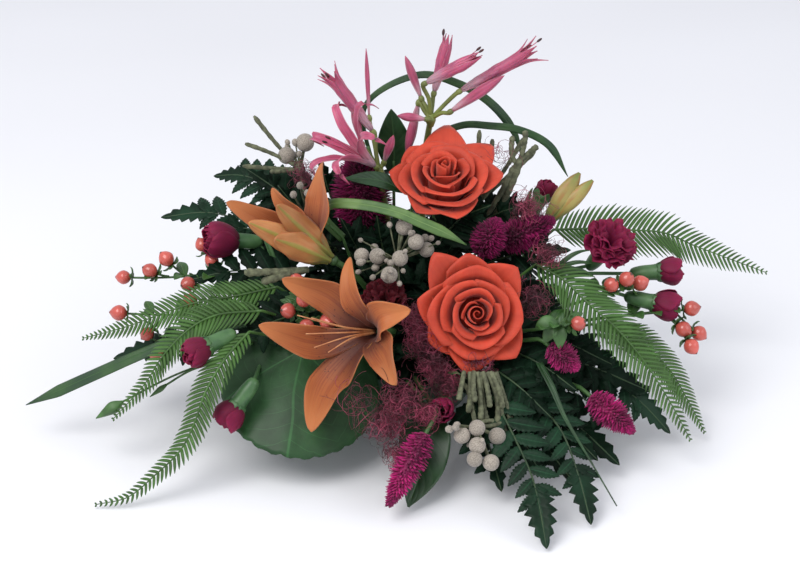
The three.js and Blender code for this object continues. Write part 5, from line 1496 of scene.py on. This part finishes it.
def berry_leaves_skin():
    """The leaves round the lone berry at the right, from one joint."""
    joint, ends = BERRY_LEAVES
    lines = bowed_lines([joint] * len(ends), ends, [(0, -1, 4)] * len(ends), 16)
    return slab(blades(lines, 11 * lance(shares(16), 0.5, 0.25), (0, -0.6, 0.8), 7, cup=0.2), 0.6)


def green_buds_skin():
    """Two lobed green buds, each at the end of a thin stem that rises a little on its way."""
    skins = []
    for foot, bud, tip, wide in GREEN_BUDS:
        foot, bud, tip = points_of(foot, bud, tip)
        skins.append(rods(smooth_line([foot, (foot + bud) / 2 + 3 * STRAIGHT_UP, bud], 16)[None], 0.9, 6))
        length = np.linalg.norm(tip - bud)
        shape = smooth_line([(0.9, -1), (wide, 0.3 * length), (0.7 * wide, 0.6 * length), (0.3, length)], 16)
        skins.append(turned(shape, bud, tip - bud, sides=16, lobes=4, lobe_depth=0.12))
    return merged(*skins)


# Bowl and foam

def bowl_skin():
    """The bowl: a closed profile of outside, rim and inside, turned about the z axis."""
    foot, rim, height, wall, floor = (DISH[key] for key in ("foot", "rim", "height", "wall", "floor"))
    outside = smooth_line([(foot - 1, 0), (foot, 0.6), (foot + 9, 18), (rim - 4, height - 7),
                           (rim - 0.4, height - 3)], 24)
    lip = smooth_line([(rim - 0.2, height - 2.4), (rim, height - 0.8), (rim - wall / 2, height),
                       (rim - wall, height - 0.8)], 9)
    inside = smooth_line([(rim - wall - 0.6, height - 3), (foot + 6, 20), (foot - 1, floor + 0.6),
                          (foot - 4, floor)], 20)
    profile = np.concatenate([[(1.0, 0.0)], outside, lip, inside, [(1.0, floor)]])
    return turned(profile, (0, 0, 0), STRAIGHT_UP, sides=72)


def foam_skin():
    """The foam block: a turned profile whose surface is uneven by a sum of sines of angle and height."""
    flank = smooth_line([(FOAM["foot"], FOAM["base"]), (FOAM["waist"], FOAM["waist_height"]),
                         (FOAM["shoulder"], FOAM["shoulder_height"]), (FOAM["crown"], FOAM["top"]),
                         (1.0, FOAM["top"] + 2)], 40)
    angle = even_angles(64)[None]
    height = flank[:, 1:2]
    rough = (0.5 * np.sin(9 * angle + 0.3 * height) + 0.4 * np.sin(23 * angle - 0.5 * height)
             + 0.3 * np.sin(0.9 * height))
    return loft(polar(np.maximum(0.8, flank[:, :1] + rough - 0.6), angle, height + 0 * angle)[None])


# Properties

def colour_of(label, text, default):
    """A colour property in linear light."""
    return FloatVectorProperty(name=label, description=text, default=default, subtype="COLOR", min=0, max=1)


def length_of(label, text, default):
    """A length property in millimetres."""
    return FloatProperty(name=label, description=text, default=default, min=0.1, precision=2)


class BouquetColours(bpy.types.PropertyGroup):
    """Colours of the petals, leaves, berries and bowl"""

    rose: colour_of("Rose", "Body of the rose petals", (0.5, 0.052, 0.022))
    rose_deep: colour_of("Rose shade", "Foot and lines of the rose petals", (0.34, 0.016, 0.01))
    lily: colour_of("Lily", "Inside of the lily tepals", (0.36, 0.095, 0.02))
    lily_back: colour_of("Lily back", "Outside of the lily tepals", (0.42, 0.18, 0.055))
    nerine: colour_of("Nerine", "Nerine tepals", (0.48, 0.08, 0.17))
    carnation: colour_of("Carnation", "Carnation petals", (0.16, 0.004, 0.036))
    carnation_red: colour_of("Red carnation", "Petals of the carnation in the middle", (0.075, 0.0025, 0.008))
    celosia: colour_of("Cockscomb", "Bristles of the plumes", (0.19, 0.004, 0.065))
    berry: colour_of("Berry", "Hypericum berries", (0.48, 0.085, 0.065))
    brunia: colour_of("Brunia", "Felted balls", (0.34, 0.3, 0.25))
    twig: colour_of("Twig", "Felted twigs", (0.12, 0.13, 0.075))
    umbrella: colour_of("Umbrella fern", "Leaflets of the umbrella ferns", (0.045, 0.11, 0.022))
    leather: colour_of("Leatherleaf", "Side fronds of the leatherleaf", (0.007, 0.028, 0.013))
    leaf: colour_of("Leaf", "Galax, salal and grass", (0.014, 0.05, 0.015))
    stem: colour_of("Stem", "Stems and calyxes", (0.045, 0.115, 0.028))
    fibre: colour_of("Fibre", "Wiry fibre between the flowers", (0.2, 0.03, 0.06))
    bowl: colour_of("Bowl", "Plastic bowl", (0.012, 0.045, 0.02))


class BouquetSizes(bpy.types.PropertyGroup):
    """Thicknesses and counts of the fine parts"""

    petal: length_of("Petal thickness", "Thickness of a petal in millimetres", 0.6)
    leaflet: length_of("Leaflet thickness", "Thickness of a fern leaflet in millimetres", 0.5)
    fibre: length_of("Fibre thickness", "Thickness of a fibre in millimetres", 0.32)
    bristles: FloatProperty(name="Bristles", default=34, min=1,
                            description="Bristles on a plume for each millimetre of its radius")
    strands: FloatProperty(name="Strands", description="Strands in a tuft for each millimetre of its radius",
                           default=8.0, min=0.1)


class BouquetStage(bpy.types.PropertyGroup):
    """Floor and light"""

    floor: colour_of("Floor", "Pale floor", (0.87, 0.88, 0.91))
    world: colour_of("Surroundings", "Light from all round", (0.93, 0.94, 1.0))
    world_strength: FloatProperty(name="Surroundings strength", description="Strength of the light all round",
                                  default=0.76, min=0)
    key: FloatProperty(name="Key light", description="Power of the large light", default=34, min=0,
                       unit="POWER")
    fill: FloatProperty(name="Fill light", description="Power of the light from the right", default=7, min=0,
                        unit="POWER")


# Operators

def make_each(table, kind, ending, skin_of, materials, slot, *sizes):
    """One piece for each entry of a table: it has its own seed, and stands for the solid of its name."""
    for seed, (name, entry) in enumerate(table.items(), SEEDS[kind]):
        skin = skin_of(name, entry, np.random.default_rng(seed), *sizes)
        make_piece(f"{name}_{ending}", skin, materials, [name])


class BouquetPiece:
    """What the operators share: undo, and the settings of the scene."""

    bl_options = {"REGISTER", "UNDO"}

    @staticmethod
    def settings(context):
        return context.scene.bouquet_colours, context.scene.bouquet_sizes


class BOUQUET_OT_bowl(BouquetPiece, bpy.types.Operator):
    """Makes the bowl and the foam"""

    bl_idname = "bouquet.bowl"
    bl_label = "Bowl and foam"

    def execute(self, context):
        colours, _ = self.settings(context)
        plastic = grain_finish("Bowl plastic", *shades(colours.bowl, 0.9, 1.2), 0.32, 40.0, 0.05)
        foam = grain_finish("Wet foam", (0.02, 0.05, 0.02), (0.06, 0.12, 0.045), 0.95, 420.0, 0.8)
        make_piece("bowl_turned", bowl_skin(), [plastic], ["dish"])
        make_piece("foam_block", foam_skin(), [foam], ["foam"])
        return {"FINISHED"}


class BOUQUET_OT_roses(BouquetPiece, bpy.types.Operator):
    """Makes the two roses"""

    bl_idname = "bouquet.roses"
    bl_label = "Roses"

    def execute(self, context):
        colours, sizes = self.settings(context)
        # The rim colour, a little lighter than the body, is partly a painted highlight where the petal edges
        # catch light
        tip, rim = shades(colours.rose, 1.1, 1.15)
        petal = petal_finish("Rose petal", colours.rose_deep, colours.rose, tip, colours.rose_deep, 0.6, rim,
                             0.2, line_depth=0.16, gloss=0.35)
        green = stem_material(colours)
        for seed, (name, rose) in enumerate(ROSES.items(), SEEDS["roses"]):
            petals = rose_skin(rose, np.random.default_rng(seed), sizes.petal)
            calyx = merged(rose_calyx(rose), stem_skin(f"{name}_stem", 0))
            make_piece(f"{name}_petals", petals, [petal], [f"{name}_bloom"])
            make_piece(f"{name}_calyx", calyx, [green], [f"{name}_stem"])
        return {"FINISHED"}


class BOUQUET_OT_lilies(BouquetPiece, bpy.types.Operator):
    """Makes the lily blooms, their forked stem and the buds"""

    bl_idname = "bouquet.lilies"
    bl_label = "Lilies"

    def execute(self, context):
        colours, sizes = self.settings(context)
        inside = throat_finish("Lily inside", colours.lily, tip=(0.46, 0.145, 0.036),
                               lines=(0.19, 0.026, 0.008), throat=(0.05, 0.006, 0.004),
                               speckle=(0.03, 0.003, 0.003))
        back = colours.lily_back
        outside = petal_finish("Lily outside", (0.16, 0.19, 0.03), back, scaled(back, 1.1), colours.lily, 0.5,
                               colours.lily, 0.6, 8.0, 0.4, rib=(0.24, 0.25, 0.04))
        thread = grain_finish("Lily stamen", (0.45, 0.16, 0.06), (0.6, 0.28, 0.12), 0.5)
        make_each(LILIES, "lilies", "tepals", lily_skin, [inside, outside, thread], "lily_petal",
                  sizes.petal + TEPAL_EXTRA)
        green = stem_material(colours)
        make_piece("lily_fork", lily_fork_skin(), [green], ["lily_stem"])
        bud = petal_finish("Lily bud", (0.12, 0.17, 0.035), (0.4, 0.33, 0.1), (0.16, 0.2, 0.035),
                           (0.4, 0.1, 0.03), 0.45, edge=0.0, line_count=7.0, line_depth=0.5)
        make_piece("lily_bud_group", lily_bud_skin(), [bud, green], ["lily_buds"])
        return {"FINISHED"}


class BOUQUET_OT_nerines(BouquetPiece, bpy.types.Operator):
    """Makes the two nerine heads"""

    bl_idname = "bouquet.nerines"
    bl_label = "Nerines"

    def execute(self, context):
        colours, _ = self.settings(context)
        pale = tuple(0.6 * part + 0.25 for part in colours.nerine)
        petal = petal_finish("Nerine tepal", pale, colours.nerine, *shades(colours.nerine, 0.85, 0.5), 0.45,
                             pale, 0.35, 5.0, 0.65)
        anther = grain_finish("Dark anther", (0.03, 0.008, 0.01), (0.08, 0.02, 0.02), 0.6)
        green = grain_finish("Nerine stalk", (0.1, 0.12, 0.03), (0.2, 0.24, 0.06), 0.45, 60.0)
        make_each(NERINES, "nerines", "head", nerine_skin, [petal, green, anther], "nerine_petal")
        return {"FINISHED"}


class BOUQUET_OT_carnations(BouquetPiece, bpy.types.Operator):
    """Makes the carnation sprays"""

    bl_idname = "bouquet.carnations"
    bl_label = "Carnations"

    def execute(self, context):
        colours, _ = self.settings(context)
        green = grain_finish("Carnation green", (0.035, 0.1, 0.035), (0.09, 0.2, 0.07), 0.42, 60.0)
        for seed, (name, spray) in enumerate(CARNATIONS.items(), SEEDS["carnations"]):
            body = colours.carnation_red if name == "carnation_centre" else colours.carnation
            dark, light = shades(body, 0.5, 1.35)
            petal = petal_finish(f"Petal of {name}", dark, body, light, dark, 0.62, edge=0.05,
                                 line_count=14.0, gloss=0.25, sheen=0.03)
            skin = carnation_skin(name, spray, np.random.default_rng(seed))
            make_piece(f"{name}_spray", skin, [petal, green], [name])
        return {"FINISHED"}


class BOUQUET_OT_plumes(BouquetPiece, bpy.types.Operator):
    """Makes the cockscomb plumes"""

    bl_idname = "bouquet.plumes"
    bl_label = "Cockscomb plumes"

    def execute(self, context):
        colours, sizes = self.settings(context)
        plume = grain_finish("Plume bristle", *shades(colours.celosia, 0.45, 1.3), 0.65, 60.0, 0.0, 0.9,
                             sheen_weight=0.08, specular_ior_level=0.2)
        green = stem_material(colours)
        # The front plumes get a copy of the bristle about twice as bright: partly their own brighter tone,
        # partly painted light, as the back plumes lie in shade
        painted_light_bristle = grain_finish("Bristle brightened as painted light", *shades(colours.celosia, 0.9, 2.2), 0.65, 60.0, 0.0, 0.9,
                              sheen_weight=0.12, specular_ior_level=0.3)
        for seed, (name, entry) in enumerate(PLUMES.items(), SEEDS["plumes"]):
            skin = plume_skin(name, entry, np.random.default_rng(seed), sizes.bristles)
            shown = plume if "back" in name else painted_light_bristle
            make_piece(f"{name}_plume", skin, [shown, green], [name])
        return {"FINISHED"}


class BOUQUET_OT_brunia(BouquetPiece, bpy.types.Operator):
    """Makes the brunia branches"""

    bl_idname = "bouquet.brunia"
    bl_label = "Brunia"

    def execute(self, context):
        colours, _ = self.settings(context)
        felt = felt_finish("Brunia felt", *shades(colours.brunia, 0.7, 1.15))
        wood = grain_finish("Brunia twig", *shades(colours.twig, 0.5, 1.3), 0.85, 260.0, 0.5)
        make_each(BRUNIAS, "brunia", "branch", brunia_skin, [felt, wood], "brunia_felt")
        return {"FINISHED"}


class BOUQUET_OT_hypericum(BouquetPiece, bpy.types.Operator):
    """Makes the hypericum sprays"""

    bl_idname = "bouquet.hypericum"
    bl_label = "Hypericum"

    def execute(self, context):
        colours, _ = self.settings(context)
        berry = berry_finish("Hypericum berry", *shades(colours.berry, 1.0, 1.3), (0.06, 0.02, 0.012))
        leaf = leaf_finish("Hypericum leaf", (0.03, 0.09, 0.02), (0.06, 0.16, 0.035), (0.1, 0.2, 0.05),
                           veins=5.0)
        green = stem_material(colours)
        make_each(HYPERICUMS, "hypericum", "spray", berry_sprig, [berry, green, leaf], "hypericum_berry")
        return {"FINISHED"}


class BOUQUET_OT_broad_leaves(BouquetPiece, bpy.types.Operator):
    """Makes the grass blades, the salal leaves and the round galax leaf"""

    bl_idname = "bouquet.broad_leaves"
    bl_label = "Grass and broad leaves"

    def execute(self, context):
        colours, _ = self.settings(context)
        green = stem_material(colours)
        grass = leaf_finish("Grass blade", (0.01, 0.045, 0.014), (0.03, 0.09, 0.02), (0.04, 0.11, 0.03), 0.38,
                            0.0, 6.0, 0.25)
        salal = leaf_finish("Salal leaf", *shades(colours.leaf, 0.8, 1.3), (0.04, 0.1, 0.035), 0.45)
        pale = leaf_finish("Pale grass blade", (0.05, 0.12, 0.028), (0.13, 0.23, 0.06), (0.17, 0.28, 0.09),
                           0.36, 0.0, 6.0, 0.25)
        for name, blade in GRASSES.items():
            shown = pale if name == "grass_loop_front" else grass
            make_piece(f"{name}_blade", grass_skin(name, *blade), [shown, green], [name])
        for name, leaf in SALALS.items():
            make_piece(f"{name}_leaf", salal_skin(name, *leaf), [salal, green], [name])
        galax = galax_finish("Galax leaf", colours.leaf)
        make_piece("galax_round_leaf", galax_skin(), [galax, green], ["galax_leaf"])
        return {"FINISHED"}


class BOUQUET_OT_umbrella_ferns(BouquetPiece, bpy.types.Operator):
    """Makes the umbrella fern fronds"""

    bl_idname = "bouquet.umbrella_ferns"
    bl_label = "Umbrella ferns"

    def execute(self, context):
        colours, sizes = self.settings(context)
        leaf = leaf_finish("Umbrella fern", *shades(colours.umbrella, 0.8, 1.3, 1.5), 0.45, 0.0, 0.0, 0.0,
                           rib_width=0.12, gloss=0.35)
        rib = grain_finish("Umbrella rib", *shades(colours.umbrella, 0.7, 1.4), 0.5, 60.0)
        make_each(UMBRELLAS, "umbrella", "frond", umbrella_skin, [leaf, rib], "umbrella_fern", sizes.leaflet)
        return {"FINISHED"}


class BOUQUET_OT_leather_ferns(BouquetPiece, bpy.types.Operator):
    """Makes the leatherleaf fern fronds"""

    bl_idname = "bouquet.leather_ferns"
    bl_label = "Leatherleaf ferns"

    def execute(self, context):
        colours, sizes = self.settings(context)
        leaf = leaf_finish("Leatherleaf", *shades(colours.leather, 0.6, 1.3, 2.0), 0.45, 6.0, 0.6, 0.25,
                           rib_width=0.08, gloss=0.16)
        rib = grain_finish("Leatherleaf rib", (0.015, 0.04, 0.014), (0.035, 0.07, 0.025), 0.5, 60.0)
        # A darker copy of the leatherleaf for the fronds and leaves deep in the middle: painted shade
        shade = leaf_finish("Leaf darkened as painted shade", *shades(colours.leather, 0.3, 0.7, 1.1), 0.55, 6.0, 0.6, 0.2,
                            rib_width=0.08, gloss=0.1)
        make_each(LEATHERS, "leather", "frond", leather_skin, [leaf, rib], "leather_fern", sizes.leaflet)
        filling = filling_fronds(sizes.leaflet, np.random.default_rng(SEEDS["fronds"]))
        make_piece("filling_fronds", filling, [shade, rib])
        leaves = filling_leaves(sizes.leaflet, np.random.default_rng(SEEDS["leaves"]))
        make_piece("filling_leaves", leaves, [shade])
        return {"FINISHED"}


class BOUQUET_OT_fibre(BouquetPiece, bpy.types.Operator):
    """Makes the tufts of wiry fibre between the flowers"""

    bl_idname = "bouquet.fibre"
    bl_label = "Fibre"

    def execute(self, context):
        colours, sizes = self.settings(context)
        # The strands differ widely in brightness: partly the fibre's own tone, partly painted highlights, the
        # brightest strands standing in for pink glints on the curls
        fibre_with_painted_highlights = grain_finish("Wiry fibre", *shades(colours.fibre, 0.2, 1.5), 0.45, 60.0, 0.0, 1.4)
        draw = np.random.default_rng(SEEDS["fibre"])
        tufts = [fibre_tuft(centre, radius, int(sizes.strands * radius * part), sizes.fibre, draw)
                 for centre, radius, part in FIBRE_TUFTS]
        make_piece("fibre_tufts", merged(*tufts), [fibre_with_painted_highlights])
        return {"FINISHED"}


class BOUQUET_OT_extras(BouquetPiece, bpy.types.Operator):
    """Makes the small leaves, buds, balls and twigs that fill the gaps"""

    bl_idname = "bouquet.extras"
    bl_label = "Small fillings"

    def execute(self, context):
        colours, _ = self.settings(context)
        green = stem_material(colours)
        salal = leaf_finish("Small leaf", *shades(colours.leaf, 0.8, 1.6), (0.04, 0.1, 0.035), 0.4)
        felt = felt_finish("Small felt", *shades(colours.brunia, 0.6, 1.1))
        wood = grain_finish("Grey twig", *shades(colours.twig, 0.5, 1.3), 0.85, 260.0, 0.5)
        make_piece("leaf_under_rose", dark_leaf_skin(), [salal])
        twigs = grey_twigs_skin(np.random.default_rng(SEEDS["extras"]))
        make_piece("grey_twigs", twigs, [felt, wood])
        make_piece("thin_blade", thin_blade_skin(), [salal])
        make_piece("berry_leaves", berry_leaves_skin(), [green])
        make_piece("green_buds", green_buds_skin(), [green])
        return {"FINISHED"}


class BOUQUET_OT_stage(bpy.types.Operator):
    """Makes the floor, the lights and the camera"""

    bl_idname = "bouquet.stage"
    bl_label = "Stage"

    def execute(self, context):
        stage = context.scene.bouquet_stage
        floor = bpy.data.meshes.new("floor")
        signs = ((-1, -1), (1, -1), (1, 1), (-1, 1))
        corners = [(x * FLOOR_HALF, y * FLOOR_HALF, FLOOR_HEIGHT) for x, y in signs]
        floor.from_pydata(corners, [], [(0, 1, 2, 3)])
        finish = Finish("Pale floor", 0.7)
        shade = finish.band(finish.noise(1.2, 2.0), 0.3, 0.7, 0.97, 1.02)
        floor.materials.append(finish.shown(stage.floor, shade))
        floor_object = linked("floor", floor)
        powers = {"key": stage.key, "fill": stage.fill}
        for name, (place, size, colour) in LIGHTS.items():
            self.light(name, place, size, powers[name], colour)
        world = bpy.data.worlds.new("Pale surroundings")
        world.use_nodes = True
        background = world.node_tree.nodes["Background"]
        background.inputs["Color"].default_value = (*stage.world, 1.0)
        background.inputs["Strength"].default_value = stage.world_strength
        context.scene.world = world
        context.scene.view_settings.view_transform = "Standard"
        self.camera(context)
        return {"FINISHED"}

    @staticmethod
    def light(name, place, size, power, colour):
        """A square area light that points at the middle of the arrangement."""
        lamp = bpy.data.lights.new(name, "AREA")
        lamp.size = size
        lamp.energy = power
        lamp.color = colour
        lamp_object = linked(name, lamp)
        aim = np.array(LIGHT_TARGET) - np.array(place)
        tilt = math.acos(-aim[2] / np.linalg.norm(aim))
        lamp_object.location = place
        lamp_object.rotation_euler = (tilt, 0, math.atan2(aim[1], aim[0]) - math.pi / 2)

    @staticmethod
    def camera(context):
        """The camera looks at its target from in front and above, as the photograph was taken."""
        tilt = math.radians(CAMERA_ELEVATION)
        camera = bpy.data.cameras.new("camera")
        camera.lens = CAMERA_LENS
        camera.sensor_width = 36
        camera.clip_end = 40
        camera_object = linked("camera", camera)
        x, y, z = CAMERA_TARGET
        camera_object.location = (x * MM, (y - CAMERA_DISTANCE * math.cos(tilt)) * MM,
                                  (z + CAMERA_DISTANCE * math.sin(tilt)) * MM)
        camera_object.rotation_euler = (math.pi / 2 - tilt, 0, 0)
        context.scene.camera = camera_object


PIECES = (BOUQUET_OT_bowl, BOUQUET_OT_roses, BOUQUET_OT_lilies, BOUQUET_OT_nerines, BOUQUET_OT_carnations,
          BOUQUET_OT_plumes, BOUQUET_OT_brunia, BOUQUET_OT_hypericum, BOUQUET_OT_broad_leaves,
          BOUQUET_OT_umbrella_ferns, BOUQUET_OT_leather_ferns, BOUQUET_OT_fibre, BOUQUET_OT_extras,
          BOUQUET_OT_stage)


class BOUQUET_PT_panel(bpy.types.Panel):
    """Settings and buttons of the arrangement in the sidebar"""

    bl_idname = "BOUQUET_PT_panel"
    bl_label = "Flower arrangement"
    bl_space_type = "VIEW_3D"
    bl_region_type = "UI"
    bl_category = "Bouquet"

    def draw(self, context):
        scene = context.scene
        for title, settings in (("Colours", scene.bouquet_colours), ("Sizes", scene.bouquet_sizes),
                                ("Stage", scene.bouquet_stage)):
            self.layout.label(text=title)
            for name in settings.__annotations__:
                self.layout.prop(settings, name)
        for piece in PIECES:
            self.layout.operator(piece.bl_idname)


CLASSES = (BouquetColours, BouquetSizes, BouquetStage, *PIECES, BOUQUET_PT_panel)


def register():
    """Registers the classes and gives every scene its settings."""
    for cls in CLASSES:
        bpy.utils.register_class(cls)
    bpy.types.Scene.bouquet_colours = PointerProperty(type=BouquetColours)
    bpy.types.Scene.bouquet_sizes = PointerProperty(type=BouquetSizes)
    bpy.types.Scene.bouquet_stage = PointerProperty(type=BouquetStage)


def unregister():
    """Takes the settings and the classes away again."""
    del bpy.types.Scene.bouquet_stage
    del bpy.types.Scene.bouquet_sizes
    del bpy.types.Scene.bouquet_colours
    for cls in reversed(CLASSES):
        bpy.utils.unregister_class(cls)


def main():
    """Builds everything in order."""
    register()
    bpy.ops.bouquet.bowl()
    bpy.ops.bouquet.roses()
    bpy.ops.bouquet.lilies()
    bpy.ops.bouquet.nerines()
    bpy.ops.bouquet.carnations()
    bpy.ops.bouquet.plumes()
    bpy.ops.bouquet.brunia()
    bpy.ops.bouquet.hypericum()
    bpy.ops.bouquet.broad_leaves()
    bpy.ops.bouquet.umbrella_ferns()
    bpy.ops.bouquet.leather_ferns()
    bpy.ops.bouquet.fibre()
    bpy.ops.bouquet.extras()
    bpy.ops.bouquet.stage()


if __name__ == "__main__":
    main()
